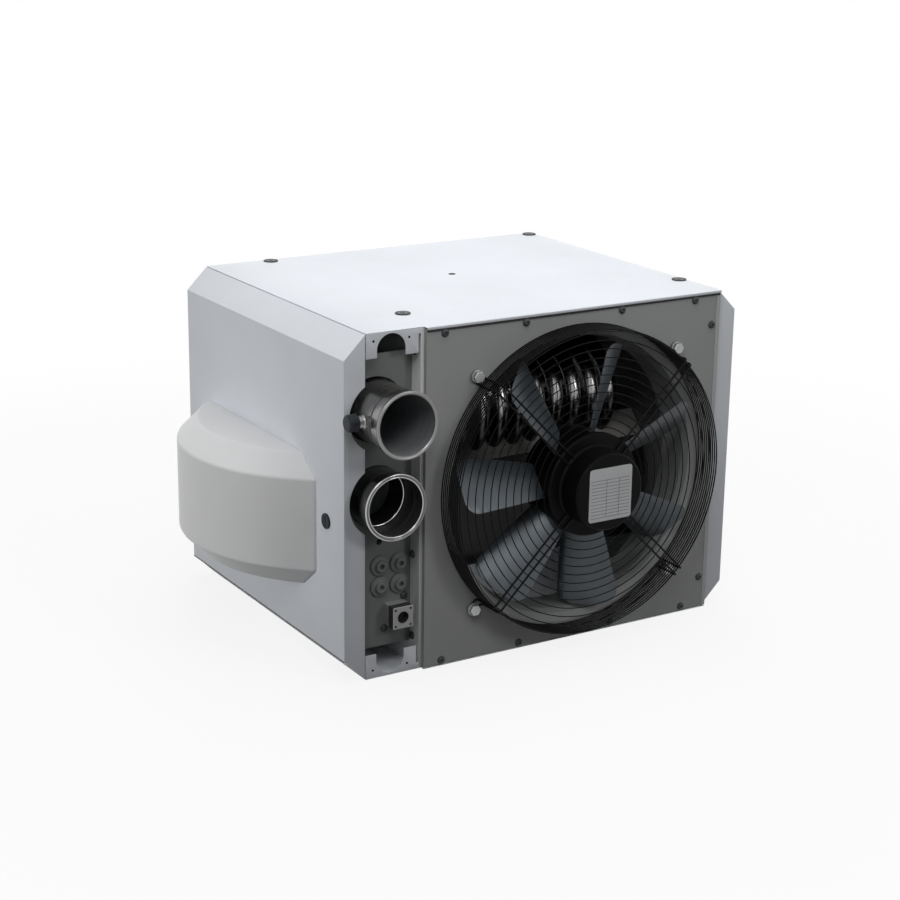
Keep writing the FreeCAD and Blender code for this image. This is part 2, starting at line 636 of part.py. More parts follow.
def make_bottom_panel():
    body = new_body("bottom_panel")
    outline = [(-shoulder, -half_depth), (shoulder, -half_depth), (shoulder, half_depth)]
    outline += [(plate_right, half_depth), (plate_right, plate_face), (plate_left, plate_face)]
    outline += [(plate_left, half_depth), (-shoulder, half_depth)]
    pad(body, "XY", 0, mm.sheet, outline)
    rest = box_loop(shoulder - mm.sheet, shoulder, inner_front, half_depth - mm.sheet)
    pad(body, "XY", mm.sheet, mm.panel_flange, rest)


def make_left_wall():
    """Channel that closes the air duct and carries the fan plate's left edge."""
    body = new_body("left_wall")
    tip = mm.flange - shoulder
    channel = [(-shoulder, inner_front), (tip, inner_front), (tip, inner_front + mm.sheet)]
    channel += [(air_left, inner_front + mm.sheet), (air_left, half_depth - mm.sheet)]
    channel += [(tip, half_depth - mm.sheet), (tip, half_depth), (-shoulder, half_depth)]
    pad(body, "XY", mm.sheet, inner_top - mm.sheet, channel)


def cover_outline(edge, side, wall=0):
    """Chamfered section of a side cover, open edge first, moved in by a wall."""
    slope = wall * math.tan(math.radians(22.5))
    face = side * (half_width - wall)
    corner = mm.corner_chamfer + slope
    rise = shoulder + mm.corner_chamfer - edge
    low = mm.corner_chamfer - rise + wall * math.sqrt(2)
    return [(side * edge, low), (face, corner), (face, height - corner), (side * edge, height - low)]


def make_left_side_cover():
    body = new_body("left_side_cover")
    pad(body, "XZ", -half_depth, mm.casing_depth, cover_outline(shoulder, -1))
    inside = mm.casing_depth - 2 * mm.sheet
    pocket(body, "XZ", inner_front, inside, cover_outline(shoulder, -1, mm.sheet))


def make_partition_wall():
    """Wall between the air duct and the service compartment, with the burner and flue holes."""
    body = new_body("partition_wall")
    duct_tip = mm.partition_x - mm.flange
    front_tip = mm.partition_x + mm.flange
    channel = [(air_right, inner_front), (front_tip, inner_front), (front_tip, inner_front + mm.sheet)]
    channel += [(mm.partition_x, inner_front + mm.sheet), (mm.partition_x, half_depth)]
    channel += [(duct_tip, half_depth), (duct_tip, half_depth - mm.sheet)]
    channel += [(air_right, half_depth - mm.sheet)]
    pad(body, "XY", mm.sheet, inner_top - mm.sheet, channel)
    burner = (mm.burner_y, mm.burner_z, mm.burner_hole)
    flue = (mm.flue_collar_y, mm.flue_z, mm.pipe_radius + mm.hole_clear)
    pocket(body, "YZ", air_right, mm.sheet, burner, flue)


def make_front_panel():
    body = new_body("front_panel")
    sheet_edge = box_loop(-shoulder, shoulder, mm.sheet, inner_top)
    pad(body, "XZ", -half_depth, mm.sheet, sheet_edge, outlet_loop(0))


def outlet_loop(margin):
    """The air outlet's rectangle, made larger by a margin."""
    half = mm.outlet_width / 2 + margin
    rise = mm.outlet_height / 2 + margin
    return box_loop(mm.fan_x - half, mm.fan_x + half, mm.fan_z - rise, mm.fan_z + rise)


def make_outlet_frame():
    """Collar through the front panel that carries the louvres' pivots."""
    body = new_body("outlet_frame")
    inner = outlet_loop(-(mm.outlet_clear + mm.outlet_wall))
    length = mm.outlet_reach + mm.outlet_inner
    front = -half_depth - mm.outlet_reach
    pad(body, "XZ", front, length, outlet_loop(-mm.outlet_clear), inner)
    pad(body, "XZ", -half_depth - mm.outlet_wall, mm.outlet_wall, outlet_loop(mm.outlet_rim), inner)
    pivot = mm.louvre_pivot + mm.shaft_clearance
    holes = [(louvre_y, z, pivot) for z in louvre_heights()]
    pocket(body, "YZ", mm.fan_x - mm.outlet_width / 2, mm.outlet_width, *holes)


def make_fan_plate():
    """Tray on the rear with the flared inlet nozzle."""
    body = new_body("fan_plate")
    stand = mm.fan_plate_stand
    edge = box_loop(plate_left, plate_right, mm.fan_plate_bottom, plate_top)
    wall = mm.sheet
    inner = box_loop(plate_left + wall, plate_right - wall, mm.fan_plate_bottom + wall, plate_top - wall)
    opening = (mm.fan_x, mm.fan_z, mm.nozzle_throat + mm.nozzle_flare)
    pad(body, "XZ", plate_face - mm.sheet, mm.sheet, edge, opening)
    pad(body, "XZ", half_depth, stand - mm.sheet, edge, inner)
    nozzle = nozzle_profile()
    sketch = profile_on(body, "XY", mm.fan_z, [nozzle])
    axis = Vector(float(mm.fan_x), 0, 0)
    line = sketch.addGeometry(Part.LineSegment(axis, axis + Vector(0, float(mm.nozzle_depth), 0)), True)
    sketch.addConstraint(Sketcher.Constraint("Vertical", line))
    hold_point(sketch, line, 1, (mm.fan_x, 0))
    feature = body.newObject("PartDesign::Revolution", "nozzle")
    feature.Profile = sketch
    feature.ReferenceAxis = (sketch, ["Axis0"])
    feature.Angle = 360


def nozzle_profile():
    """Section of the nozzle's sheet: a flare in two facets, then the throat."""
    throat = mm.fan_x + mm.nozzle_throat
    flare = mm.nozzle_flare
    face = plate_face
    end = plate_face - mm.nozzle_depth
    wall = mm.sheet
    curve = flare * (1 - math.sqrt(0.5))
    outer = [(throat + flare, face), (throat + curve, face - curve), (throat, face - flare)]
    inner = [(throat + wall, face - flare), (throat + curve + wall, face - curve - wall)]
    return outer + [(throat, end), (throat + wall, end)] + inner + [(throat + flare, face - wall)]


def make_connection_plate():
    """Recessed plate that the pipes, glands and gas inlet pass through."""
    body = new_body("connection_plate")
    edge = half_width - mm.plate_edge_gap
    fold = mm.partition_x + mm.sheet
    fold_end = recess_face - mm.panel_flange
    angle = [(mm.partition_x, fold_end), (fold, fold_end), (fold, recess_back)]
    angle += [(edge, recess_back), (edge, recess_face), (mm.partition_x, recess_face)]
    pad(body, "XY", mm.recess_margin, height - 2 * mm.recess_margin, angle)
    holes = [(mm.flue_x, mm.flue_z, mm.pipe_radius + mm.pipe_hole_clear)]
    holes.append((mm.air_x, mm.air_z, mm.pipe_radius + mm.hole_clear))
    holes.append((mm.gas_x, mm.gas_z, mm.gas_pipe + mm.hole_clear))
    holes += [(x, mm.spare_hole_z, mm.spare_hole) for x, z in gland_points()[:2]]
    pocket(body, "XZ", recess_back, mm.sheet, *holes)


def make_rear_bracket(label, edge, toward):
    """Small plate beside the fan plate with an arch for cables, at the casing's top or bottom."""
    body = new_body(label)
    inner = edge - toward * mm.sheet
    free = edge - toward * mm.recess_margin
    spring = edge - toward * (mm.arch_land + mm.arch_radius)
    pad(body, "XZ", half_depth - mm.sheet, mm.sheet, box_loop(mm.partition_x, shoulder, free, inner))
    legs = box_loop(mm.arch_x - mm.arch_radius, mm.arch_x + mm.arch_radius, free, spring)
    pocket(body, "XZ", half_depth - mm.sheet, mm.sheet, legs)
    pocket(body, "XZ", half_depth - mm.sheet, mm.sheet, (mm.arch_x, spring, mm.arch_radius))
    cut = box_loop(mm.partition_x, mm.partition_x + mm.bracket_relief, free, edge - toward * mm.relief_land)
    pocket(body, "XZ", half_depth - mm.sheet, mm.sheet, cut)
    hole_z = edge - toward * mm.bracket_hole_inset
    half = mm.bracket_hole_pitch / 2
    holes = [(mm.arch_x + side * half, hole_z, mm.bracket_hole) for side in (-1, 1)]
    pocket(body, "XZ", half_depth - mm.sheet, mm.sheet, *holes)


# Fasteners

def suspension_points():
    half_x = mm.suspension_pitch_x / 2
    half_y = mm.suspension_pitch_y / 2
    corners = ((-1, -1), (1, -1), (1, 1), (-1, 1))
    return [(mm.suspension_x + i * half_x, mm.suspension_y + j * half_y) for i, j in corners]


def make_suspension_inserts():
    """Threaded inserts in the top panel, each a flanged barrel with a tapped bore."""
    length = mm.insert_length
    top = length + mm.insert_head_height
    profile = [(0, 0), (mm.insert_barrel, 0), (mm.insert_barrel, length), (mm.insert_head, length)]
    insert = turned(profile + [(mm.insert_head, top), (0, top)], SMALL_SIDES)
    insert = insert.cut(cylinder(mm.insert_bore, top))
    inserts = []
    for x, y in suspension_points():
        copy = insert.copy()
        copy.translate(Vector(float(x), float(y), float(height - length)))
        inserts.append(copy)
    shape_part("suspension_inserts", Part.makeCompound(inserts))


def pan_head(x, y, z, turn):
    """A low domed screw head on a face."""
    top = mm.screw_head_height
    profile = [(0, 0), (mm.screw_head, 0), (mm.screw_head, mm.screw_rim), (mm.screw_crown, top), (0, top)]
    head = turned(profile, SMALL_SIDES)
    head.Placement = Placement(Vector(float(x), float(y), float(z)), turn)
    return head


def make_plate_screws():
    places = []
    for pitch in (mm.screw_outer_pitch, mm.screw_inner_pitch):
        for side in (-1, 1):
            x = mm.screw_middle_x + side * pitch / 2
            places.append((x, plate_top - mm.screw_inset))
            places.append((x, mm.fan_plate_bottom + mm.screw_inset))
    for side in (-1, 1):
        places.append((plate_left + mm.screw_side_inset, mm.fan_z + side * mm.screw_side_pitch / 2))
    shape_part("plate_screws", Part.makeCompound([pan_head(x, plate_face, z, ALONG_Y) for x, z in places]))


def make_recess_screws():
    """Screws of the connection plate: three into the partition, two beside the gas inlet."""
    y = recess_face + mm.recess_screw_out
    rows = (mm.recess_screw_low, mm.recess_screw_middle, mm.recess_screw_high)
    heads = [pan_head(mm.partition_x, y, z, ALONG_X) for z in rows]
    half = mm.gas_block / 2 + mm.screw_head
    for side in (-1, 1):
        x = mm.gas_x + side * mm.gas_block / 2
        heads.append(pan_head(x, recess_face, mm.gas_z - side * half, ALONG_Y))
    shape_part("recess_screws", Part.makeCompound(heads))


def bolt_points():
    corners = ((-1, -1), (1, -1), (1, 1), (-1, 1))
    return [(mm.fan_x + i * mm.bolt_offset, mm.fan_z + j * mm.bolt_offset) for i, j in corners]


def make_guard_bolts():
    """Hexagon bolts with washers that clamp the guard's loops on the fan plate."""
    seat = mm.wire
    top = seat + mm.washer_height
    shank = [(0, 0), (mm.bolt_shank, 0), (mm.bolt_shank, seat), (mm.bolt_washer, seat)]
    washer = turned(shank + [(mm.bolt_washer, top), (0, top)], SMALL_SIDES)
    corner = mm.bolt_flats / math.sqrt(3)
    end = top + mm.bolt_head
    head = turned([(0, top), (corner, top), (corner, end), (0, end)], 6)
    bolt = washer.fuse(head)
    bolts = []
    for x, z in bolt_points():
        copy = bolt.copy()
        copy.Placement = Placement(Vector(float(x), float(plate_face), float(z)), ALONG_Y)
        bolts.append(copy)
    shape_part("guard_bolts", Part.makeCompound(bolts))


# Fan and guard

def ring(corners):
    """A many-sided ring on a triangle of (radius, height) corners, with those radii at its flats."""
    reach = 1 / math.cos(math.pi / GUARD_SIDES)
    return turned([(r * reach, h) for r, h in corners], GUARD_SIDES)


def make_fan_guard():
    """Wire basket: rings on the front and round the drum, held by four hairpins of wire."""
    wire = float(mm.ring_wire)
    seat = float(mm.guard_depth - mm.wire)
    radius = float(mm.guard_radius)
    wires = []
    for i in range(round(float(mm.front_rings))):
        r = radius - float(mm.wire) - i * float(mm.front_ring_pitch)
        wires.append(ring([(r - wire / 2, seat), (r + wire / 2, seat), (r, seat - wire)]))
    for i in range(round(float(mm.side_rings))):
        h = i * float(mm.side_ring_pitch)
        wires.append(ring([(radius, h), (radius, h + wire), (radius - wire, h + wire / 2)]))
    wires += [hairpin(45 + 90 * i) for i in range(4)]
    guard = Part.makeCompound(wires)
    shape_part("fan_guard", guard, mm.fan_x, plate_face, mm.fan_z, ALONG_Y)


def hairpin(turn):
    """One wire from the motor, over the drum's edge, round a bolt and back."""
    wire = float(mm.wire)
    depth = float(mm.guard_depth)
    inner = float(mm.cap_radius + mm.hairpin_gap)
    outer = float(mm.guard_radius) + wire
    half = float(mm.wire_pair + mm.wire) / 2
    bolt = float(mm.bolt_offset) * math.sqrt(2)
    path = [(inner, depth), (outer, depth), (outer, wire), (bolt, wire)]
    path += [(bolt, 0), (outer - wire, 0), (outer - wire, depth - wire), (inner, depth - wire)]
    legs = []
    for start in (-half, half - wire):
        legs.append(prism([Vector(r, start, h) for r, h in path], Vector(0, wire, 0)))
    loop = cylinder(half, wire, bolt).cut(cylinder(half - wire, wire, bolt))
    front = Part.makeBox(half, 2 * half, wire, Vector(bolt, -half, 0))
    pin = joined(legs + [loop.common(front)])
    pin.rotate(Vector(), Vector(0, 0, 1), turn)
    return pin


def make_motor_stator():
    """Fixed half of the fan motor, carried by the guard, with its end cap."""
    seat = guard_front - mm.wire
    body = new_body("motor_stator", mm.fan_x, seat, mm.fan_z, ALONG_Y)
    end = mm.cap_length
    profile = [(0, -mm.stator_length), (mm.stator_radius, -mm.stator_length), (mm.stator_radius, 0)]
    profile += [(mm.cap_radius, 0), (mm.cap_radius, end - mm.cap_bevel)]
    profile += [(mm.cap_radius - mm.cap_bevel, end), (0, end)]
    revolve(body, profile)
    bearing = mm.shaft_radius + mm.shaft_clearance
    pocket(body, "XY", -mm.stator_length, mm.shaft_reach + mm.shaft_end_gap, (0, 0, bearing))


def make_rotor_hub():
    """External rotor, a cup with its shaft in the stator."""
    face = guard_front - mm.wire - mm.stator_length - mm.rotor_gap
    body = new_body("rotor_hub", mm.fan_x, face, mm.fan_z, ALONG_Y)
    rim = mm.rotor_radius
    end = -mm.rotor_length
    reach = mm.rotor_gap + mm.shaft_reach
    inside = rim - mm.rotor_wall
    floor = end + mm.rotor_wall
    profile = [(0, end), (rim - mm.cap_bevel, end), (rim, end + mm.cap_bevel), (rim, 0), (inside, 0)]
    profile += [(inside, floor), (mm.shaft_radius, floor), (mm.shaft_radius, reach), (0, reach)]
    revolve(body, profile)


def blade_section(radius, chord, pitch):
    """Closed strip of an arched blade, square to the radius, as a wire at that radius."""
    camber = float(mm.blade_camber)
    half_sheet = float(mm.blade_sheet) / 2
    along = Vector(math.cos(pitch), 0, math.sin(pitch))
    rise = Vector(-math.sin(pitch), 0, math.cos(pitch))
    centre = Vector(0, radius, 0)
    ends = [centre + along * (side * chord / 2) for side in (-1, 1)]
    arcs = []
    for shift in (-half_sheet, half_sheet):
        points = [ends[0] + rise * shift, centre + rise * (camber + shift), ends[1] + rise * shift]
        arcs.append(Part.Arc(*points).toShape())
    caps = [Part.makeLine(ends[i] - rise * half_sheet, ends[i] + rise * half_sheet) for i in (0, 1)]
    return Part.Wire([arcs[0], caps[1], arcs[1], caps[0]])


def blade_planform(length):
    """The blade seen along the fan's axis: wider towards a tip with rounded corners."""
    root = float(mm.rotor_radius - mm.blade_trim)
    tip = float(mm.blade_tip)
    end = float(mm.blade_tip + mm.blade_trim)
    root_half = float(mm.blade_root_width) / 2
    tip_half = float(mm.blade_tip_width) / 2
    corners = [(-root_half, root), (root_half, root), (tip_half, end), (-tip_half, end)]
    blank = prism([Vector(u, v, -length) for u, v in corners], Vector(0, 0, 2 * length))
    blank = blank.common(cylinder(tip, 2 * length, 0, 0, -length))
    corner_edges = []
    for edge in blank.Edges:
        upright = abs(edge.tangentAt(edge.FirstParameter).z) > 0.99
        if upright and edge.CenterOfMass.y > (root + tip) / 2:
            corner_edges.append(edge)
    return blank.makeFillet(float(mm.blade_corner), corner_edges)


def make_fan_blades():
    """Pressed blades, arched and twisted, seated on the rotor's side."""
    tip = float(mm.blade_tip)
    hub = float(mm.rotor_radius)
    root_pitch = math.radians(float(mm.blade_root_angle))
    tip_pitch = math.radians(float(mm.blade_tip_angle))
    trim = float(mm.blade_trim)
    inner = hub - 2 * trim
    outer = tip + 2 * trim
    sections = []
    for share in (0, 0.5, 1):
        radius = inner + (outer - inner) * share
        pitch = root_pitch * (1 - share) + tip_pitch * share
        width = float(mm.blade_root_width) * (1 - share) + float(mm.blade_tip_width) * share
        sections.append(blade_section(radius, width / math.cos(pitch) + 2 * trim, -pitch))
    sheet = Part.makeLoft(sections, True, False)
    length = tip
    blade = sheet.common(blade_planform(length)).cut(cylinder(hub, 2 * length, 0, 0, -length))
    blade = max(blade.Solids, key=lambda solid: solid.Volume)
    count = round(float(mm.blade_count))
    start = float(mm.blade_start)
    blades = []
    for i in range(count):
        copy = blade.copy()
        copy.rotate(Vector(), Vector(0, 0, 1), start + 360 * i / count)
        blades.append(copy)
    middle = guard_front - mm.wire - mm.stator_length - mm.rotor_gap - mm.rotor_length / 2
    shape_part("fan_blades", Part.makeCompound(blades), mm.fan_x, middle, mm.fan_z, ALONG_Y)


# Heat exchanger

def chamber_end():
    return air_left + mm.chamber_end_gap


def chamber_outline(wall):
    """Section of the chamber, moved in by a wall."""
    front = mm.chamber_front + wall
    rear = mm.chamber_rear - wall
    low = mm.chamber_bottom + wall
    top = mm.chamber_top - wall
    slope = mm.bend_y + mm.bend_z - wall * math.sqrt(2)
    return [(front, low), (rear, low), (rear, slope - rear), (slope - top, top), (front, top)]


def make_combustion_chamber():
    """Closed hollow drum along the duct, with a sloped shoulder where the tubes leave it."""
    body = new_body("combustion_chamber")
    wall = mm.exchanger_wall
    pad(body, "YZ", chamber_end(), air_right - chamber_end(), chamber_outline(dim(0)))
    hollow = air_right - chamber_end() - 2 * wall
    pocket(body, "YZ", chamber_end() + wall, hollow, chamber_outline(wall))
    low = float(mm.chamber_bottom + mm.chamber_round)
    front = float(mm.chamber_front + mm.chamber_round)

    def rounded(edge):
        along = abs(edge.tangentAt(edge.FirstParameter).x) > 0.99
        return along and (edge.CenterOfMass.z < low or edge.CenterOfMass.y < front)

    fillet(body, mm.chamber_round, rounded)


def leg_end():
    """Where a tube's straight leg meets the flue collector, in the tube's plane."""
    angle = math.radians(float(mm.leg_angle))
    y = mm.bend_y + mm.bend_radius * math.cos(angle) - mm.tube_leg * math.sin(angle)
    z = mm.bend_z + mm.bend_radius * math.sin(angle) + mm.tube_leg * math.cos(angle)
    return y, z, math.tan(angle)


def collector_outline(wall):
    """Section of the collector, moved in by a wall."""
    y, z, slope = leg_end()
    front = mm.collector_front + wall
    low = mm.collector_bottom + wall
    top = mm.collector_top - wall
    shift = wall * math.sqrt(1 + 1 / slope ** 2)
    low_edge = y + (low - z) / slope - shift
    top_edge = y + (top - z) / slope - shift
    return [(front, low), (low_edge, low), (top_edge, top), (front, top)]


def make_flue_collector():
    """Closed box that gathers the flue gas from the tubes, its sloped side square to their legs."""
    body = new_body("flue_collector")
    wall = mm.exchanger_wall
    pad(body, "YZ", chamber_end(), air_right - chamber_end(), collector_outline(dim(0)))
    hollow = air_right - chamber_end() - 2 * wall
    pocket(body, "YZ", chamber_end() + wall, hollow, collector_outline(wall))


def make_exchanger_tubes():
    """Bent tubes that bulge towards the fan, from the chamber's shoulder to the collector."""
    bend = float(mm.bend_radius)
    stop = float(mm.leg_angle)
    middle = Vector(0, float(mm.bend_y), float(mm.bend_z))
    corners = []
    for i in range(TUBE_BEND_STEPS + 1):
        turn = math.radians(SHOULDER_ANGLE + (stop - SHOULDER_ANGLE) * i / TUBE_BEND_STEPS)
        corners.append(middle + Vector(0, math.cos(turn), math.sin(turn)) * bend)
    corners.append(Vector(0, *[float(size) for size in leg_end()[:2]]))
    shoulder_normal = Vector(0, 1, 1)
    tube = mitred_tube(corners, float(mm.tube_radius), TUBE_SIDES, shoulder_normal)
    tube = tube.cut(mitred_tube(corners, float(mm.tube_radius - mm.tube_wall), TUBE_SIDES, shoulder_normal))
    count = round(float(mm.tube_count))
    first = float(mm.fan_x) - float(mm.tube_pitch) * (count - 1) / 2
    tubes = []
    for i in range(count):
        copy = tube.copy()
        copy.translate(Vector(first + i * float(mm.tube_pitch), 0, 0))
        tubes.append(copy)
    shape_part("exchanger_tubes", Part.makeCompound(tubes))


def make_chamber_support():
    """Bracket between the chamber's end and the left wall."""
    body = new_body("chamber_support")
    z = (mm.chamber_bottom + mm.chamber_top) / 2 - mm.support_height / 2
    y = (mm.chamber_front + mm.chamber_rear) / 2
    half = mm.support_height
    left = air_left
    right = chamber_end()
    wall = 2 * mm.sheet
    web = [(left, y - half), (left + wall, y - half), (left + wall, y - wall), (right - wall, y - wall)]
    web += [(right - wall, y - half), (right, y - half), (right, y + half), (right - wall, y + half)]
    web += [(right - wall, y + wall), (left + wall, y + wall), (left + wall, y + half), (left, y + half)]
    pad(body, "XY", z, mm.support_height, web)


# Pipes and connections

def pipe_profile(start, end):
    """Section of a connection pipe: plain tube, then a socket with a flared bead at its end."""
    socket = end - mm.socket_length
    outer = mm.pipe_radius
    inner = outer - mm.pipe_wall
    skin = mm.socket_radius + mm.pipe_wall
    bead = mm.bead_length
    profile = [(inner, start), (outer, start), (outer, socket - bead), (skin, socket)]
    profile += [(skin, end - bead), (mm.bead_radius, end - bead / 2), (mm.bead_radius, end)]
    return profile + [(mm.socket_radius, end), (mm.socket_radius, socket), (inner, socket)]


def elbow_y():
    """Where the flue's straight pipe begins, one bend radius behind its collar."""
    return mm.flue_collar_y + mm.flue_x - mm.partition_x


def make_flue_pipe():
    """Flue outlet: straight pipe with a socket, and the test port on its side."""
    body = new_body("flue_pipe", mm.flue_x, half_depth, mm.flue_z, ALONG_Y)
    inner = mm.pipe_radius - mm.pipe_wall
    pad(body, "YZ", 0, mm.port_length, (0, mm.port_reach, mm.port_radius))
    revolve(body, pipe_profile(elbow_y() - half_depth, mm.flue_reach))
    start = elbow_y() - half_depth
    bore_end = mm.flue_reach - mm.socket_length
    pocket(body, "XY", start, bore_end - start, (0, 0, inner))
    pocket(body, "YZ", 0, mm.port_length, (0, mm.port_reach, mm.port_bore))


def make_flue_elbow():
    """Sheet elbow of straight gores from the collector to the straight pipe."""
    bend = float(mm.flue_x - mm.partition_x)
    start = float(elbow_y())
    level = float(mm.flue_z)
    axis = Vector(float(mm.partition_x), start, level)
    corners = [Vector(float(mm.flue_x), start, level)]
    for i in range(ELBOW_GORES):
        turn = math.pi / 2 * (i + 0.5) / ELBOW_GORES
        reach = bend / math.cos(math.pi / 4 / ELBOW_GORES)
        corners.append(axis + Vector(math.cos(turn), -math.sin(turn), 0) * reach)
    corners.append(Vector(float(air_right), start - bend, level))
    outer = mitred_tube(corners, float(mm.pipe_radius), ELBOW_SIDES)
    inner = mitred_tube(corners, float(mm.pipe_radius - mm.pipe_wall), ELBOW_SIDES)
    shape_part("flue_elbow", outer.cut(inner))


def make_test_port_cap():
    """Plastic cap pushed over the test port."""
    outer_end = mm.flue_x + mm.port_length + mm.port_cap_wall
    bore = mm.port_radius + mm.port_cap_clearance
    depth = mm.port_cap_length - mm.port_cap_wall
    profile = [(bore, 0), (mm.port_cap_radius, 0), (mm.port_cap_radius, mm.port_cap_length)]
    profile += [(0, mm.port_cap_length), (0, depth), (bore, depth)]
    reach = 1 / math.cos(math.pi / HIDDEN_SIDES)
    cap = turned([(r * reach, h) for r, h in profile], HIDDEN_SIDES)
    y = half_depth + mm.port_reach
    shape_part("test_port_cap", cap, outer_end - mm.port_cap_length, y, mm.flue_z, ALONG_X)


def make_air_inlet():
    """Combustion air socket with its bead, and the lip seal inside it."""
    body = new_body("air_inlet_socket", mm.air_x, half_depth, mm.air_z, ALONG_Y)
    start = recess_back - mm.air_inner - half_depth
    revolve(body, pipe_profile(start, mm.air_reach))
    inner = mm.pipe_radius - mm.pipe_wall
    lip = inner - mm.seal_height
    seal = turned([(lip, 0), (inner, 0), (inner, mm.seal_width), (lip, mm.seal_width)], HIDDEN_SIDES)
    seat = half_depth + mm.air_reach - mm.socket_length - mm.seal_width
    shape_part("air_inlet_seal", seal, mm.air_x, seat, mm.air_z, ALONG_Y)


def gland_points():
    half = mm.gland_pitch / 2
    corners = ((-1, 1), (1, 1), (-1, -1), (1, -1))
    return [(mm.gland_x + i * half, mm.gland_z + j * half) for i, j in corners]


def make_cable_glands():
    """Wide flanged glands with a raised middle, each with a dimple for the cable."""
    top = mm.gland_height
    floor = top - mm.gland_dimple
    profile = [(0, 0), (mm.gland_radius, 0), (mm.gland_radius, mm.gland_foot)]
    profile += [(mm.gland_dome, mm.gland_shoulder), (mm.gland_crown, top), (mm.gland_mouth, top)]
    profile += [(mm.gland_mouth, floor), (0, floor)]
    gland = turned(profile, HIDDEN_SIDES)
    glands = []
    for x, z in gland_points():
        copy = gland.copy()
        copy.Placement = Placement(Vector(float(x), float(recess_face), float(z)), ALONG_Y)
        glands.append(copy)
    shape_part("cable_glands", Part.makeCompound(glands))


def make_gas_inlet():
    """Square flange with the gas bore and four screw holes, on the connection plate."""
    body = new_body("gas_inlet_flange")
    half = mm.gas_block / 2
    square = box_loop(mm.gas_x - half, mm.gas_x + half, mm.gas_z - half, mm.gas_z + half)
    screw = mm.gas_screw_pitch / 2
    holes = []
    for i, j in ((-1, -1), (1, -1), (1, 1), (-1, 1)):
        holes.append((mm.gas_x + i * screw, mm.gas_z + j * screw, mm.gas_screw_hole))
    pad(body, "XZ", recess_face, mm.gas_length, square, (mm.gas_x, mm.gas_z, mm.gas_bore))
    pocket(body, "XZ", recess_face + mm.gas_length - mm.gas_screw_depth, mm.gas_screw_depth, *holes)


def make_gas_pipe():
    """Straight pipe from the gas flange to the valve, through the connection plate."""
    body = new_body("gas_pipe")
    hollow = (mm.gas_x, mm.gas_z, mm.gas_pipe_bore)
    pad(body, "XZ", mm.valve_y, recess_face - mm.valve_y, (mm.gas_x, mm.gas_z, mm.gas_pipe), hollow)


# Burner and controls in the service compartment

def make_burner_flange():
    body = new_body("burner_flange")
    half = mm.burner_flange / 2
    square = box_loop(mm.burner_y - half, mm.burner_y + half, mm.burner_z - half, mm.burner_z + half)
    pad(body, "YZ", mm.partition_x, mm.burner_flange_thick, square)

    def upright(edge):
        return abs(edge.tangentAt(edge.FirstParameter).x) > 0.99

    fillet(body, mm.burner_round, upright)


def blower_floor():
    return mm.burner_z - mm.blower_height / 2


def make_blower_housing():
    """Blower drum with a round inlet below and an outlet that runs to the burner flange."""
    body = new_body("blower_housing", mm.blower_x, mm.blower_y, blower_floor())
    cavity = mm.blower_radius - mm.blower_wall
    top = mm.blower_height - mm.blower_wall
    flange_face = mm.partition_x + mm.burner_flange_thick - mm.blower_x
    duct_half = mm.blower_height / 2
    duct_y = mm.burner_y - mm.blower_y
    duct = box_loop(flange_face, 0, duct_y - duct_half, duct_y + duct_half)
    pad(body, "XY", 0, mm.blower_height, duct)
    pad(body, "XY", 0, mm.blower_height, (0, 0, mm.blower_radius))
    pocket(body, "XY", mm.blower_wall, top - mm.blower_wall, (0, 0, cavity))
    pocket(body, "XY", 0, mm.blower_wall, (0, 0, mm.blower_mouth))
    pocket(body, "XY", top, mm.blower_wall, (0, 0, mm.impeller_shaft + mm.shaft_clearance))


def impeller_reach():
    """Shaft length inside the blower's top and the motor."""
    return mm.blower_wall * 2


def make_blower_impeller():
    """Wheel with straight vanes under a back plate, on the motor's shaft."""
    gap = (mm.blower_height - mm.impeller_height) / 2
    body = new_body("blower_impeller", mm.blower_x, mm.blower_y, blower_floor() + gap)
    plate = mm.impeller_height - mm.impeller_disc
    pad(body, "XY", plate, mm.impeller_disc, (0, 0, mm.impeller_radius))
    thick = mm.impeller_disc / 2
    pad(body, "XY", 0, plate, box_loop(mm.blower_mouth, mm.impeller_radius - mm.vane_inset, -thick, thick))
    doc.recompute()
    vane = body.Tip
    pattern = body.newObject("PartDesign::PolarPattern", "vanes")
    pattern.Originals = [vane]
    pattern.Axis = (vane.Profile[0], ["N_Axis"])
    pattern.Angle = 360
    bind(pattern, "Occurrences", mm.impeller_vanes)
    body.Tip = pattern
    reach = gap + impeller_reach() - mm.blower_wall
    pad(body, "XY", mm.impeller_height, reach, (0, 0, mm.impeller_shaft))


def make_blower_motor():
    floor = blower_floor() + mm.blower_height
    rim = mm.blower_motor_radius
    top = mm.blower_motor_height
    bearing = (mm.impeller_shaft + mm.shaft_clearance) / math.cos(math.pi / HIDDEN_SIDES)
    depth = impeller_reach() - mm.blower_wall + mm.shaft_end_gap
    profile = [(bearing, 0), (rim, 0), (rim, top - mm.cap_bevel), (rim - mm.cap_bevel, top), (0, top)]
    motor = turned(profile + [(0, depth), (bearing, depth)], HIDDEN_SIDES)
    shape_part("blower_motor", motor, mm.blower_x, mm.blower_y, floor)


def mixer_radius():
    return mm.blower_mouth + 2 * mm.blower_wall


def make_mixer():
    """Short throat under the blower where the gas joins the air."""
    top = mm.mixer_height
    wide = mixer_radius()
    mouth = mm.blower_mouth
    neck = mm.blower_mouth - 2 * mm.blower_wall
    mixer = turned([(mouth, 0), (wide, 0), (wide, top), (mouth, top), (neck, top / 2)], HIDDEN_SIDES)
    shape_part("gas_air_mixer", mixer, mm.blower_x, mm.blower_y, blower_floor() - mm.mixer_height)


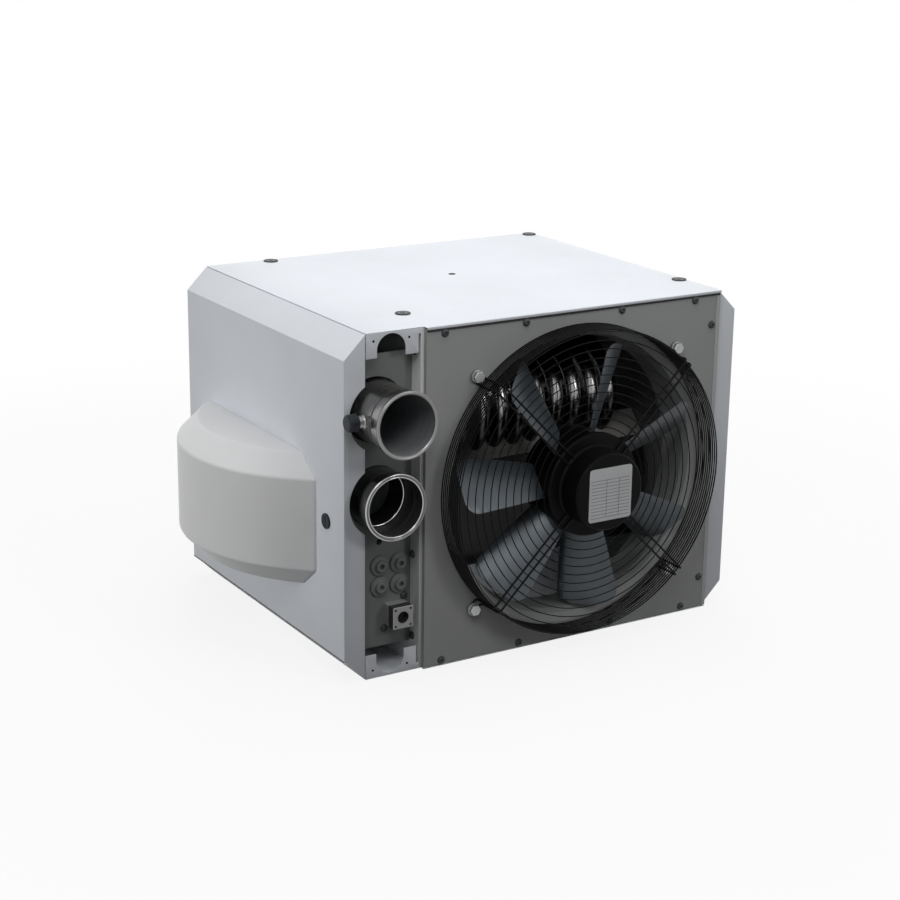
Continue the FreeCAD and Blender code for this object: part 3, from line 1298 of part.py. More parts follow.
def make_gas_valve():
    """Valve block at the end of the gas pipe, with a solenoid coil on top."""
    body = new_body("gas_valve")
    left = mm.gas_x - mm.valve_offset
    low = mm.gas_z - mm.valve_height / 2
    front = mm.valve_y - mm.valve_depth
    pad(body, "XY", low, mm.valve_height, box_loop(left, left + mm.valve_width, front, mm.valve_y))
    coil = (mm.gas_x + mm.coil_offset, mm.valve_y - mm.coil_inset, mm.coil_radius)
    pad(body, "XY", low + mm.valve_height, mm.coil_height, coil)


def make_gas_feed():
    """Bent pipe from the valve's top to the mixer's side."""
    x = float(mm.gas_x)
    y = float(mm.valve_y - mm.valve_depth / 2)
    end_y = float(mm.blower_y)
    level = float(blower_floor() - mm.feed_height)
    end_x = float(mm.blower_x - mixer_radius())
    bend = float(mm.feed_corner_radius)
    corners = [Vector(x, y, float(mm.gas_z + mm.valve_height / 2)), Vector(x, y, level - bend)]
    corners += [Vector(x, y - bend, level), Vector(x, end_y + bend, level)]
    corners += [Vector(x + bend, end_y, level), Vector(end_x, end_y, level)]
    shape_part("gas_feed_pipe", mitred_tube(corners, float(mm.feed_radius), SMALL_SIDES))


def make_control_box():
    """Burner control in a plastic box on the partition."""
    body = new_body("control_box")
    y = mm.control_y
    z = mm.control_z
    outline = box_loop(y, y + mm.control_width, z, z + mm.control_height)
    pad(body, "YZ", mm.partition_x, mm.control_depth, outline)
    doc.recompute()
    base = body.Tip
    foot = float(mm.partition_x + mm.control_round)
    edges = [f"Edge{i}" for i, edge in enumerate(base.Shape.Edges, start=1) if edge.CenterOfMass.x > foot]
    bevel = body.newObject("PartDesign::Chamfer", "control_box_bevel")
    bevel.Base = (base, edges)
    bind(bevel, "Size", mm.control_round)


def make_pressure_switch():
    rim = mm.switch_radius
    depth = mm.switch_depth
    base = mm.switch_base
    profile = [(0, 0), (rim, 0), (rim, base), (mm.switch_cap, base), (mm.switch_cap, depth), (0, depth)]
    switch = turned(profile, HIDDEN_SIDES)
    shape_part("pressure_switch", switch, mm.partition_x, mm.switch_y, mm.switch_z, ALONG_X)


def make_limit_thermostat():
    rim = mm.thermostat_radius
    depth = mm.thermostat_depth
    edge = mm.thermostat_flange
    plate = mm.thermostat_plate
    profile = [(0, 0), (edge, 0), (edge, plate), (rim, plate), (rim, depth), (0, depth)]
    thermostat = turned(profile, SMALL_SIDES)
    shape_part("limit_thermostat", thermostat, mm.partition_x, mm.thermostat_y, mm.thermostat_z, ALONG_X)


def make_ignition_electrode():
    x = mm.partition_x + mm.burner_flange_thick
    offset = mm.burner_flange / 2 - mm.electrode_inset
    y = mm.burner_y - offset
    z = mm.burner_z + offset
    rim = mm.electrode_radius
    foot = mm.electrode_foot
    seat = mm.electrode_seat
    end = mm.electrode_length
    profile = [(0, 0), (foot, 0), (foot, seat), (rim, seat), (mm.electrode_tip, end), (0, end)]
    shape_part("ignition_electrode", turned(profile, SMALL_SIDES), x, y, z, ALONG_X)


# Front louvres

louvre_y = -half_depth - mm.louvre_forward


def louvre_heights():
    count = round(float(mm.louvre_count))
    return [mm.fan_z + mm.louvre_pitch * (i - (count - 1) / 2) for i in range(count)]


def make_louvres():
    """Blades that turn on a pivot at each end, in the outlet frame."""
    frame_half = mm.outlet_width / 2 - mm.outlet_clear
    half = frame_half - mm.outlet_wall - mm.louvre_end_gap
    chord = mm.louvre_chord / 2
    thick = mm.louvre_thick / 2
    edge = mm.louvre_edge / 2
    waist = mm.louvre_waist / 2
    section = [(-chord, -edge), (-waist, -thick), (waist, -thick), (chord, -edge)]
    section += [(chord, edge), (waist, thick), (-waist, thick), (-chord, edge)]
    for number, z in enumerate(louvre_heights(), start=1):
        body = new_body(f"louvre_{number}", mm.fan_x, louvre_y, z)
        pad(body, "YZ", -half, 2 * half, section)
        reach = mm.louvre_end_gap + mm.outlet_wall
        for start in (half, -half - reach):
            pad(body, "YZ", start, reach, (0, 0, mm.louvre_pivot))


# Service door

def make_service_door():
    """Chamfered door tray with pipe notches, hood window, lock hole and hinge notches."""
    body = new_body("service_door")
    pad(body, "XZ", -half_depth, mm.casing_depth, cover_outline(door_edge, 1))
    inside = mm.casing_depth - 2 * mm.sheet
    pocket(body, "XZ", inner_front, inside, cover_outline(door_edge, 1, mm.sheet))
    notches = [(mm.flue_x, mm.flue_z - mm.notch_drop, mm.pipe_radius + mm.notch_clear)]
    notches.append((mm.air_x, mm.air_z, mm.pipe_radius + mm.air_notch_clear))
    pocket(body, "XZ", half_depth - mm.sheet, mm.sheet, *notches)
    half = mm.window_width / 2
    middle = (mm.hood_bottom + mm.hood_top) / 2
    rise = mm.window_height / 2
    window = box_loop(mm.hood_y - half, mm.hood_y + half, middle - rise, middle + rise)
    lock = (mm.lock_y, mm.lock_z, mm.lock_barrel + mm.shaft_clearance)
    pocket(body, "YZ", door_inside, mm.sheet, window, lock)
    for z in (mm.hinge_low, mm.hinge_high):
        low = z - mm.hinge_notch
        high = z + mm.knuckle_length + mm.hinge_notch
        pocket(body, "XZ", -half_depth, mm.sheet, box_loop(shoulder, door_inside, low, high))


def make_hood():
    """Moulded hood over the burner: a drum with sloped, softened edges, cut off at the door's face."""
    body = new_body("hood", mm.hood_x, mm.hood_y, 0)
    revolve(body, hood_section(dim(0), mm.hood_round))
    span = mm.hood_radius * 2
    behind = box_loop(-span, half_width - mm.hood_x, -span, span)
    pocket(body, "XY", mm.hood_bottom, mm.hood_top - mm.hood_bottom, behind)
    groove(body, hood_section(mm.hood_wall, mm.hood_round))


def hood_section(wall, softness):
    """Half section of the hood, moved in by a wall, with a facet along each slope's two edges."""
    slope = wall * math.tan(math.radians(22.5))
    rim = mm.hood_radius - wall
    low = mm.hood_bottom + wall
    high = mm.hood_top - wall
    bevel = mm.hood_chamfer - slope
    trim = softness * math.tan(math.radians(22.5))
    slant = trim * math.sqrt(0.5)
    lower = [(rim - bevel - trim, low), (rim - bevel + slant, low + slant)]
    lower += [(rim - slant, low + bevel - slant), (rim, low + bevel + trim)]
    upper = [(r, low + high - h) for r, h in reversed(lower)]
    return [(dim(0), low)] + lower + upper + [(dim(0), high)]


def make_hinges():
    """Lift-off hinges: pins on the casing's leaves, bored knuckles on the door's leaves."""
    fixed = []
    moving = []
    out = Vector(0, 0, 1)
    length = float(mm.knuckle_length)
    leaf = float(mm.hinge_leaf)
    x = float(hinge_x)
    y = float(hinge_y)
    seat = float(inner_front)
    for level in (float(mm.hinge_low), float(mm.hinge_high)):
        fold = float(shoulder - mm.sheet)
        flat = float(mm.hinge_pad)
        arm_y = y - float(mm.knuckle)
        foot = Part.makeBox(flat, arm_y + leaf - seat, length, Vector(fold - flat, seat, level))
        arm = Part.makeBox(x - fold, leaf, length, Vector(fold, arm_y, level))
        knuckle = cylinder(mm.knuckle, length, x, y, level, out)
        pin = cylinder(mm.hinge_pin, 2 * mm.knuckle_length - mm.pin_short, x, y, level, out)
        fixed.append(joined([foot, arm, knuckle, pin]))
        upper = level + length + float(mm.knuckle_gap)
        face = float(door_inside)
        plate = Part.makeBox(leaf, float(mm.hinge_plate), length, Vector(face - leaf, y - leaf / 2, upper))
        barrel = cylinder(mm.knuckle, length, x, y, upper, out)
        bore = cylinder(mm.hinge_pin + mm.shaft_clearance, length, x, y, upper, out)
        moving.append(joined([plate, barrel]).cut(bore))
    shape_part("casing_hinge_leaves", Part.makeCompound(fixed))
    shape_part("door_hinge_leaves", Part.makeCompound(moving))


def make_door_lock():
    """Quarter-turn lock: face, barrel through the door, and a cam that hangs down when open."""
    body = new_body("door_lock", half_width, mm.lock_y, mm.lock_z, ALONG_X)
    depth = mm.lock_depth
    profile = [(0, -depth), (mm.lock_barrel, -depth), (mm.lock_barrel, 0), (mm.lock_disc, 0)]
    profile += [(mm.lock_disc, mm.lock_face), (0, mm.lock_face)]
    revolve(body, profile)
    half = mm.cam_width / 2
    cam = box_loop(-half, mm.cam_length, -half, half)
    pad(body, "XY", -depth, mm.cam_thick, cam)
    slot = box_loop(-mm.slot_length / 2, mm.slot_length / 2, -mm.slot_width / 2, mm.slot_width / 2)
    pocket(body, "XY", mm.lock_face - mm.slot_depth, mm.slot_depth, slot)


def make_lock_keeper():
    """Angle on the connection plate that the turned cam catches behind."""
    body = new_body("lock_keeper")
    cam_face = half_width - mm.lock_depth + mm.cam_thick
    near = cam_face + mm.keeper_gap
    reach = mm.lock_y + mm.cam_length - mm.keeper_overlap
    foot = half_width - mm.plate_edge_gap
    fold = recess_back - mm.sheet
    angle = [(near, reach), (near + mm.sheet, reach), (near + mm.sheet, fold)]
    angle += [(foot, fold), (foot, recess_back), (near, recess_back)]
    pad(body, "XY", mm.lock_z - mm.flange, 2 * mm.flange, angle)


def build():
    make_top_panel()
    make_bottom_panel()
    make_left_wall()
    make_left_side_cover()
    make_partition_wall()
    make_front_panel()
    make_outlet_frame()
    make_fan_plate()
    make_connection_plate()
    make_rear_bracket("upper_bracket", height, 1)
    make_rear_bracket("lower_bracket", dim(0), -1)
    make_suspension_inserts()
    make_plate_screws()
    make_recess_screws()
    make_guard_bolts()
    make_fan_guard()
    make_motor_stator()
    make_rotor_hub()
    make_fan_blades()
    make_combustion_chamber()
    make_flue_collector()
    make_exchanger_tubes()
    make_chamber_support()
    make_flue_pipe()
    make_flue_elbow()
    make_test_port_cap()
    make_air_inlet()
    make_cable_glands()
    make_gas_inlet()
    make_gas_pipe()
    make_burner_flange()
    make_blower_housing()
    make_blower_impeller()
    make_blower_motor()
    make_mixer()
    make_gas_valve()
    make_gas_feed()
    make_control_box()
    make_pressure_switch()
    make_limit_thermostat()
    make_ignition_electrode()
    make_louvres()
    make_service_door()
    make_hood()
    make_hinges()
    make_door_lock()
    make_lock_keeper()
    doc.recompute()


def check():
    """Stops if any object failed to build."""
    for item in doc.Objects:
        if "Invalid" in item.State or "Error" in item.State:
            raise RuntimeError(f"{item.Label} failed: {item.State}")
    for item in sub_parts:
        if item.Shape.isNull() or not item.Shape.isValid():
            raise RuntimeError(f"{item.Label} has no valid shape")


def write():
    os.makedirs("parts", exist_ok=True)
    for item in sub_parts:
        item.Shape.exportStep(f"parts/{item.Label}.step")


build()
check()
write()
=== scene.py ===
"""Looks of a gas-fired air heater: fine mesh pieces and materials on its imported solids."""

import json
import math

import bmesh
import bpy
from mathutils import Matrix, Vector

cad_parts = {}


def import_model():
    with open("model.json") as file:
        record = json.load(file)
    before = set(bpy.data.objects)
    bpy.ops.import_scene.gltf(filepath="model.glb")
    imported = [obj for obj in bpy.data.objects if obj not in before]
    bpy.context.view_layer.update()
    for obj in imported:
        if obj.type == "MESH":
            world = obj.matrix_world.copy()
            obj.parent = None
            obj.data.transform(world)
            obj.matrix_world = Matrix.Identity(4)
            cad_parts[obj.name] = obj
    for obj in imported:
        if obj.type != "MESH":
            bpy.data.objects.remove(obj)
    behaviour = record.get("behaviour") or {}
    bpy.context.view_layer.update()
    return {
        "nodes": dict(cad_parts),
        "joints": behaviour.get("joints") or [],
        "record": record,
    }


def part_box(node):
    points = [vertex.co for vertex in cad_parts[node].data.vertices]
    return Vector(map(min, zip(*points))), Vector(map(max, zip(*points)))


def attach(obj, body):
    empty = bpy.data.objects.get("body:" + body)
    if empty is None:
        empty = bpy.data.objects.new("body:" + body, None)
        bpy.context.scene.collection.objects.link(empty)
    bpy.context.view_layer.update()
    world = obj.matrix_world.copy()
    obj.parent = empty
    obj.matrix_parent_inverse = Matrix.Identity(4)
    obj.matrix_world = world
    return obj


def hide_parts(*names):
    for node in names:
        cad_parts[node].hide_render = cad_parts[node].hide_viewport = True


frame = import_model()

record = frame["record"]
nodes = frame["nodes"]
bodies = record["behaviour"]["bodies"]
slot_of = {part["node"]: part["material_slot"] for part in record["subparts"]}
body_of = {node: body for body, members in bodies.items() for node in members}
joints = {item["name"]: item for item in frame["joints"]}

MM = 0.001
X, Y, Z = Vector((1, 0, 0)), Vector((0, 1, 0)), Vector((0, 0, 1))
CORNERS = ((-1, -1), (1, -1), (1, 1), (-1, 1))

# Axes and faces that several pieces share, and the guard bolts' distance from the fan's axis

FAN = Vector(joints["fan_spin"]["pos_m"])
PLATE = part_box("fan_plate")[1].y
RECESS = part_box("connection_plate")[1].y
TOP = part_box("top_panel")[1].z
GUARD_BOLT = 193 * MM
FLUE = Vector((304 * MM, 0, 432 * MM))
TEST_PORT = Vector((304 * MM, 305 * MM, 432 * MM))
AIR_INLET = Vector((302 * MM, 0, 292 * MM))


# Materials: the range of most noise, how far gloss strays, and how a pattern is stretched

NOISE_LOW, NOISE_HIGH = 0.3, 0.7
GLOSS_SWING = 0.06
EVEN = (1, 1, 1)
TURNED = (1, 60, 1)


def new_material(name):
    """A material with its nodes and links."""
    material = bpy.data.materials.new(name)
    material.use_nodes = True
    return material, material.node_tree.nodes, material.node_tree.links


def mapped(tree_nodes, links, stretch):
    """Object coordinates in metres, stretched along the axes."""
    place = tree_nodes.new("ShaderNodeTexCoord")
    mapping = tree_nodes.new("ShaderNodeMapping")
    mapping.inputs["Scale"].default_value = stretch
    links.new(place.outputs["Object"], mapping.inputs["Vector"])
    return mapping.outputs["Vector"]


def noise(tree_nodes, links, vector, scale, detail=3.0):
    """A cloudy pattern, as a value."""
    texture = tree_nodes.new("ShaderNodeTexNoise")
    texture.inputs["Scale"].default_value = scale
    texture.inputs["Detail"].default_value = detail
    links.new(vector, texture.inputs["Vector"])
    return texture.outputs["Fac"]


def shades(colour, dark, light):
    """A darker and a lighter shade of a colour."""
    return [c * dark for c in colour], [min(c * light, 1) for c in colour]


def ramp(tree_nodes, links, value, low, high, start=NOISE_LOW, end=NOISE_HIGH):
    """Colours between low and high by a value."""
    colours = tree_nodes.new("ShaderNodeValToRGB")
    first, last = colours.color_ramp.elements
    first.position, last.position = start, end
    first.color, last.color = (*low, 1), (*high, 1)
    links.new(value, colours.inputs["Fac"])
    return colours.outputs["Color"]


def spread(tree_nodes, links, value, low, high):
    """A number between low and high by a value."""
    span = tree_nodes.new("ShaderNodeMapRange")
    span.inputs["From Min"].default_value = NOISE_LOW
    span.inputs["From Max"].default_value = NOISE_HIGH
    span.inputs["To Min"].default_value = low
    span.inputs["To Max"].default_value = high
    links.new(value, span.inputs["Value"])
    return span.outputs["Result"]


def relief(tree_nodes, links, value, depth):
    """A surface raised by a value, up to a depth in metres."""
    bump = tree_nodes.new("ShaderNodeBump")
    bump.inputs["Strength"].default_value = 1.0
    bump.inputs["Distance"].default_value = depth
    links.new(value, bump.inputs["Height"])
    return bump.outputs["Normal"]


def surface(name, colour, rough, metal=0.0, vary=0.05, cloud=4.0, grain=900.0, depth=0.00003,
            stretch=EVEN, coat=0.0, sheen=0.5):
    """A finish with cloudy shade, uneven gloss and a fine grain."""
    material, tree_nodes, links = new_material(name)
    shader = tree_nodes["Principled BSDF"]
    vector = mapped(tree_nodes, links, stretch)
    clouds = noise(tree_nodes, links, vector, cloud, 4.0)
    fine = noise(tree_nodes, links, vector, grain, 2.0)
    shade = ramp(tree_nodes, links, clouds, *shades(colour, 1 - vary, 1 + vary))
    gloss = spread(tree_nodes, links, clouds, rough - GLOSS_SWING, rough + GLOSS_SWING)
    links.new(shade, shader.inputs["Base Color"])
    links.new(gloss, shader.inputs["Roughness"])
    links.new(relief(tree_nodes, links, fine, depth), shader.inputs["Normal"])
    shader.inputs["Metallic"].default_value = metal
    shader.inputs["Coat Weight"].default_value = coat
    shader.inputs["Specular IOR Level"].default_value = sheen
    return material


def spangled(name, colour, rough):
    """Galvanised sheet with its flakes of zinc."""
    flake_scale, grain, depth = 90.0, 700.0, 0.00002
    dark, light = 0.86, 1.1
    smoother, rougher = 0.06, 0.08
    material, tree_nodes, links = new_material(name)
    shader = tree_nodes["Principled BSDF"]
    vector = mapped(tree_nodes, links, EVEN)
    flakes = tree_nodes.new("ShaderNodeTexVoronoi")
    flakes.inputs["Scale"].default_value = flake_scale
    links.new(vector, flakes.inputs["Vector"])
    grey = tree_nodes.new("ShaderNodeSeparateColor")
    links.new(flakes.outputs["Color"], grey.inputs["Color"])
    low, high = shades(colour, dark, light)
    shade = ramp(tree_nodes, links, grey.outputs["Red"], low, high, 0.0, 1.0)
    gloss = spread(tree_nodes, links, grey.outputs["Green"], rough - smoother, rough + rougher)
    fine = noise(tree_nodes, links, vector, grain)
    links.new(shade, shader.inputs["Base Color"])
    links.new(gloss, shader.inputs["Roughness"])
    links.new(relief(tree_nodes, links, fine, depth), shader.inputs["Normal"])
    shader.inputs["Metallic"].default_value = 0.9
    return material


def tube_steel(name):
    """Dark polished tube, painted brighter round its bend as a highlight and painted darker on its
    upper leg as shade.
    """
    # Heights in metres: below the band the tube keeps its dark steel, the band between the bright
    # levels is a painted highlight, and the upper leg above it is painted shade.
    foot, bright, head = 0.36, (0.385, 0.41), 0.43
    steel_below, painted_shade_above = (0.05, 0.05, 0.049, 1), (0.03, 0.028, 0.027, 1)
    painted_highlight_tint = (0.36, 0.36, 0.357, 1)
    cloud, waver = 30.0, 0.02
    smooth, rough = 0.2, 0.25
    material, tree_nodes, links = new_material(name)
    shader = tree_nodes["Principled BSDF"]
    vector = mapped(tree_nodes, links, EVEN)
    height = tree_nodes.new("ShaderNodeSeparateXYZ")
    links.new(vector, height.inputs["Vector"])
    clouds = noise(tree_nodes, links, vector, cloud)
    wave = tree_nodes.new("ShaderNodeMath")
    wave.operation = "MULTIPLY_ADD"
    wave.inputs[1].default_value = waver
    links.new(clouds, wave.inputs[0])
    links.new(height.outputs["Z"], wave.inputs[2])
    painted_light_ramp = tree_nodes.new("ShaderNodeValToRGB")
    stops = painted_light_ramp.color_ramp.elements
    stops[0].position, stops[0].color = foot, steel_below
    stops[1].position, stops[1].color = head, painted_shade_above
    for level in bright:
        stops.new(level).color = painted_highlight_tint
    links.new(wave.outputs["Value"], painted_light_ramp.inputs["Fac"])
    links.new(painted_light_ramp.outputs["Color"], shader.inputs["Base Color"])
    links.new(spread(tree_nodes, links, clouds, smooth, rough), shader.inputs["Roughness"])
    shader.inputs["Metallic"].default_value = 1.0
    return material


FINISHES = {
    "casing_coat": dict(colour=(0.785, 0.815, 0.86), rough=0.5, grain=1400.0, depth=0.00002,
                        sheen=0.22),
    "plate_coat": dict(colour=(0.375, 0.385, 0.38), rough=0.44, grain=1400.0, sheen=0.25),
    # Darker than the fan plate: partly the recess plate's own grey, partly painted shade of the
    # recess and of the air socket's shadow.
    "recess_coat": dict(colour=(0.225, 0.24, 0.23), rough=0.5, grain=1400.0, sheen=0.2),
    "hood_plastic": dict(colour=(0.775, 0.78, 0.785), rough=0.42, grain=2200.0, depth=0.00002,
                         sheen=0.3),
    "guard_wire": dict(colour=(0.0045, 0.0045, 0.005), rough=0.45, vary=0.2, grain=1600.0,
                       sheen=0.08),
    "motor_coat": dict(colour=(0.003, 0.003, 0.0033), rough=0.42, vary=0.25, grain=1100.0,
                       depth=0.00004, sheen=0.06),
    "blade_coat": dict(colour=(0.098, 0.113, 0.126), rough=0.36, metal=0.35, vary=0.12,
                       cloud=18.0, depth=0.00005),
    # Near-black steel for the chamber and collector: painted shade for the inside of the casing.
    "exchanger_steel": dict(colour=(0.045, 0.044, 0.043), rough=0.5, metal=0.6, vary=0.2,
                            cloud=14.0, sheen=0.2),
    "pipe_steel": dict(colour=(0.27, 0.265, 0.26), rough=0.26, metal=1.0, vary=0.1, cloud=12.0,
                       grain=160.0, depth=0.00001, stretch=TURNED),
    "zinc": dict(colour=(0.36, 0.37, 0.365), rough=0.46, metal=0.8, vary=0.1, cloud=60.0),
    "screw_black": dict(colour=(0.066, 0.068, 0.07), rough=0.45, vary=0.2, cloud=80.0, sheen=0.2),
    "rubber": dict(colour=(0.03, 0.03, 0.031), rough=0.6, vary=0.2, cloud=50.0, sheen=0.2),
    "gland_rubber": dict(colour=(0.20, 0.215, 0.21), rough=0.5, vary=0.1, cloud=60.0, sheen=0.25),
    "black_plastic": dict(colour=(0.018, 0.02, 0.026), rough=0.46, vary=0.2, cloud=40.0,
                          sheen=0.2),
    "cast_aluminium": dict(colour=(0.50, 0.50, 0.50), rough=0.42, metal=0.95, vary=0.1,
                           cloud=30.0, grain=500.0, depth=0.00012),
    "copper_pipe": dict(colour=(0.62, 0.40, 0.24), rough=0.3, metal=1.0, vary=0.14, cloud=25.0),
    "control_plastic": dict(colour=(0.42, 0.43, 0.44), rough=0.46, vary=0.06, cloud=20.0),
    "ceramic": dict(colour=(0.82, 0.79, 0.72), rough=0.22, vary=0.06, cloud=40.0, coat=0.3),
    # A brighter copy of the socket's steel for its beads and inner ring: painted highlights.
    "bright_steel": dict(colour=(0.44, 0.44, 0.437), rough=0.1, metal=1.0, vary=0.06, cloud=12.0,
                         grain=140.0, depth=0.000006, stretch=TURNED),
    "inner_steel": dict(colour=(0.26, 0.27, 0.28), rough=0.5, metal=0.15, vary=0.15, cloud=9.0,
                        grain=200.0, depth=0.00001, stretch=TURNED, sheen=0.2),
    # Near-black lining for the air socket's inside: painted shade deep in the pipe.
    "painted_shade_lining": dict(colour=(0.06, 0.06, 0.062), rough=0.4, metal=0.3, vary=0.15, cloud=9.0,
                        grain=200.0, depth=0.00001, stretch=TURNED, sheen=0.3),
    "dull_steel": dict(colour=(0.20, 0.20, 0.198), rough=0.32, metal=1.0, vary=0.1, cloud=12.0,
                       grain=160.0, depth=0.00001, stretch=TURNED),
    # Satin steel for the test port's spout, and for the flue's bead and the gas block's edge lines
    # as painted highlights.
    "satin_steel": dict(colour=(0.26, 0.26, 0.257), rough=0.3, metal=1.0, vary=0.08, cloud=12.0,
                        grain=160.0, depth=0.00001, stretch=TURNED),
    # A darkened copy of the socket's steel: painted dark reflection on its barrel and rim.
    "dark_steel": dict(colour=(0.12, 0.12, 0.122), rough=0.2, metal=1.0, vary=0.1, cloud=12.0,
                       grain=160.0, depth=0.00001, stretch=TURNED),
    "shoulder_grey": dict(colour=(0.46, 0.45, 0.425), rough=0.5, vary=0.12, cloud=16.0),
    "wall_grey": dict(colour=(0.80, 0.81, 0.805), rough=0.46, grain=1400.0, sheen=0.25),
    # The left wall's inner face in a darker grey than the casing's: painted shade for the inside
    # of the casing.
    "inner_wall_shade_grey": dict(colour=(0.3, 0.305, 0.305), rough=0.6, vary=0.12, cloud=14.0, sheen=0.1),
    "hem_grey": dict(colour=(0.52, 0.53, 0.53), rough=0.46, grain=1400.0, sheen=0.25),
    "label_white": dict(colour=(0.66, 0.67, 0.68), rough=0.35, vary=0.04, cloud=30.0),
    "label_rule": dict(colour=(0.16, 0.165, 0.17), rough=0.5, vary=0.15, cloud=60.0),
    # Dark grey for the strip on the door's lower edge: painted shade.
    "edge_shade_grey": dict(colour=(0.09, 0.092, 0.096), rough=0.5, vary=0.15, cloud=20.0, sheen=0.2),
    "washer_grey": dict(colour=(0.05, 0.052, 0.055), rough=0.45, vary=0.2, cloud=70.0,
                        sheen=0.25),
    "block_grey": dict(colour=(0.36, 0.365, 0.36), rough=0.44, metal=0.1, vary=0.12, cloud=40.0,
                       grain=600.0, depth=0.00008),
    "block_face": dict(colour=(0.30, 0.305, 0.30), rough=0.4, metal=0.2, vary=0.1, cloud=40.0,
                       grain=600.0, depth=0.00004),
    "block_dark": dict(colour=(0.045, 0.046, 0.047), rough=0.45, metal=0.2, vary=0.2, cloud=40.0,
                       grain=600.0, depth=0.00006),
}
# The left wall's own look is painted shade.
OWN_LOOK = {"partition_wall": "wall_grey", "left_wall": "inner_wall_shade_grey"}
looks = {name: surface(name, **finish) for name, finish in FINISHES.items()}
looks["partition_sheet"] = spangled("partition_sheet", (0.50, 0.52, 0.53), 0.42)
looks["tube_steel"] = tube_steel("tube_steel")


def look_of(node):
    """A solid's own look, or else its slot's."""
    return looks[OWN_LOOK.get(node, slot_of[node])]


for solid, item in nodes.items():
    item.data.materials.clear()
    item.data.materials.append(look_of(solid))


# Mesh helpers: how much of a leg a bend may take, its steps, and the smallest ring and gap

LEG_SHARE = 0.49
BEND_STEPS = 6
AXIS_RADIUS = 1e-6
WELD = 1e-6


def piece(name, bm, node, look=None, covers=True, sharp=38):
    """A shown mesh that rides with a solid's body and, if it covers the solid, stands for it."""
    mesh = bpy.data.meshes.new(name)
    bmesh.ops.recalc_face_normals(bm, faces=bm.faces)
    bm.to_mesh(mesh)
    bm.free()
    mesh.shade_smooth()
    mesh.set_sharp_from_angle(angle=math.radians(sharp))
    mesh.materials.append(looks[look] if look else look_of(node))
    item = bpy.data.objects.new(name, mesh)
    bpy.context.scene.collection.objects.link(item)
    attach(item, body_of[node])
    if covers:
        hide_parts(node)
    return item


def gathered(meshes):
    """Several meshes as one."""
    whole = bmesh.new()
    for bm in meshes:
        part = bpy.data.meshes.new("part")
        bm.to_mesh(part)
        bm.free()
        whole.from_mesh(part)
        bpy.data.meshes.remove(part)
    return whole


def in_mm(*points):
    """Points given in millimetres, as metres."""
    return [tuple(value * MM for value in point) for point in points]


def oblong(left, low, right, high, radius=0):
    """The (u, v, radius) corners of a rectangle."""
    return [(left, low, radius), (right, low, radius), (right, high, radius), (left, high, radius)]


def bend(here, before, after, reach, steps):
    """Points round a corner, from a reach before it to a reach after it."""
    back, on = before - here, after - here
    reach = min(reach, back.length * LEG_SHARE, on.length * LEG_SHARE)
    start = here + back.normalized() * reach
    end = here + on.normalized() * reach
    shares = [k / steps for k in range(steps + 1)]
    return [start * (1 - t) ** 2 + here * 2 * t * (1 - t) + end * t ** 2 for t in shares]


def eased(corners, steps=4):
    """A closed outline of (u, v, radius) corners with each corner rounded to its radius."""
    outline = []
    count = len(corners)
    for i, (u, v, radius) in enumerate(corners):
        here = Vector((u, v))
        if radius <= 0:
            outline.append(here)
            continue
        before = Vector(corners[i - 1][:2])
        after = Vector(corners[(i + 1) % count][:2])
        half = (before - here).angle(after - here) / 2
        outline += bend(here, before, after, radius / math.tan(half), steps)
    return [(p.x, p.y) for p in outline]


def curved(points, radius):
    """A path through points with its corners bent to a radius."""
    path = [points[0]]
    for before, here, after in zip(points, points[1:], points[2:]):
        path += bend(here, before, after, radius, BEND_STEPS)
    return path + [points[-1]]


def circle_path(centre, axis, radius, count):
    """Points on a circle about an axis through a centre."""
    turn = Z.rotation_difference(axis)
    turns = [2 * math.pi * i / count for i in range(count)]
    return [centre + turn @ Vector((radius * math.cos(a), radius * math.sin(a), 0)) for a in turns]


def skin(bm, rings, closed=False):
    """Faces from ring to ring, where a ring may be one point."""
    pairs = list(zip(rings, rings[1:]))
    if closed:
        pairs.append((rings[-1], rings[0]))
    for low, high in pairs:
        for i in range(max(len(low), len(high))):
            j = i + 1
            quad = [low[i % len(low)], low[j % len(low)], high[j % len(high)], high[i % len(high)]]
            corners = list(dict.fromkeys(quad))
            if len(corners) > 2:
                bm.faces.new(corners)


def lathe(profile, centre, axis, sides, closed=True):
    """Turns (radius, height) points about an axis through a centre, all in metres."""
    bm = bmesh.new()
    turn = Z.rotation_difference(axis)
    rings = []
    for radius, height in profile:
        ring = []
        for i in range(sides if radius > AXIS_RADIUS else 1):
            a = 2 * math.pi * i / sides
            point = Vector((radius * math.cos(a), radius * math.sin(a), height))
            ring.append(bm.verts.new(centre + turn @ point))
        rings.append(ring)
    skin(bm, rings, closed)
    return bm


def sweep(path, radius, sides, closed=False):
    """A round wire along a path."""
    bm = bmesh.new()
    count = len(path)
    rings = []
    side = None
    for i, point in enumerate(path):
        ahead = path[(i + 1) % count] if closed or i + 1 < count else point
        behind = path[i - 1] if closed or i > 0 else point
        run = (ahead - behind).normalized()
        if side is None:
            side = run.orthogonal().normalized()
        side = (side - run * side.dot(run)).normalized()
        across = run.cross(side)
        ring = []
        for k in range(sides):
            a = 2 * math.pi * k / sides
            out = side * (radius * math.cos(a)) + across * (radius * math.sin(a))
            ring.append(bm.verts.new(point + out))
        rings.append(ring)
    skin(bm, rings, closed)
    if not closed:
        bm.faces.new(rings[0])
        bm.faces.new(rings[-1])
    return bm


def plate(corners, depth, origin, u, v):
    """A flat plate on an outline of (u, v, radius) corners, drawn out along u x v."""
    bm = bmesh.new()
    outline = eased(corners)
    normal = u.cross(v)
    low = [bm.verts.new(origin + u * a + v * b) for a, b in outline]
    high = [bm.verts.new(origin + u * a + v * b + normal * depth) for a, b in outline]
    bm.faces.new(low)
    bm.faces.new(high)
    skin(bm, [low, high])
    return bm


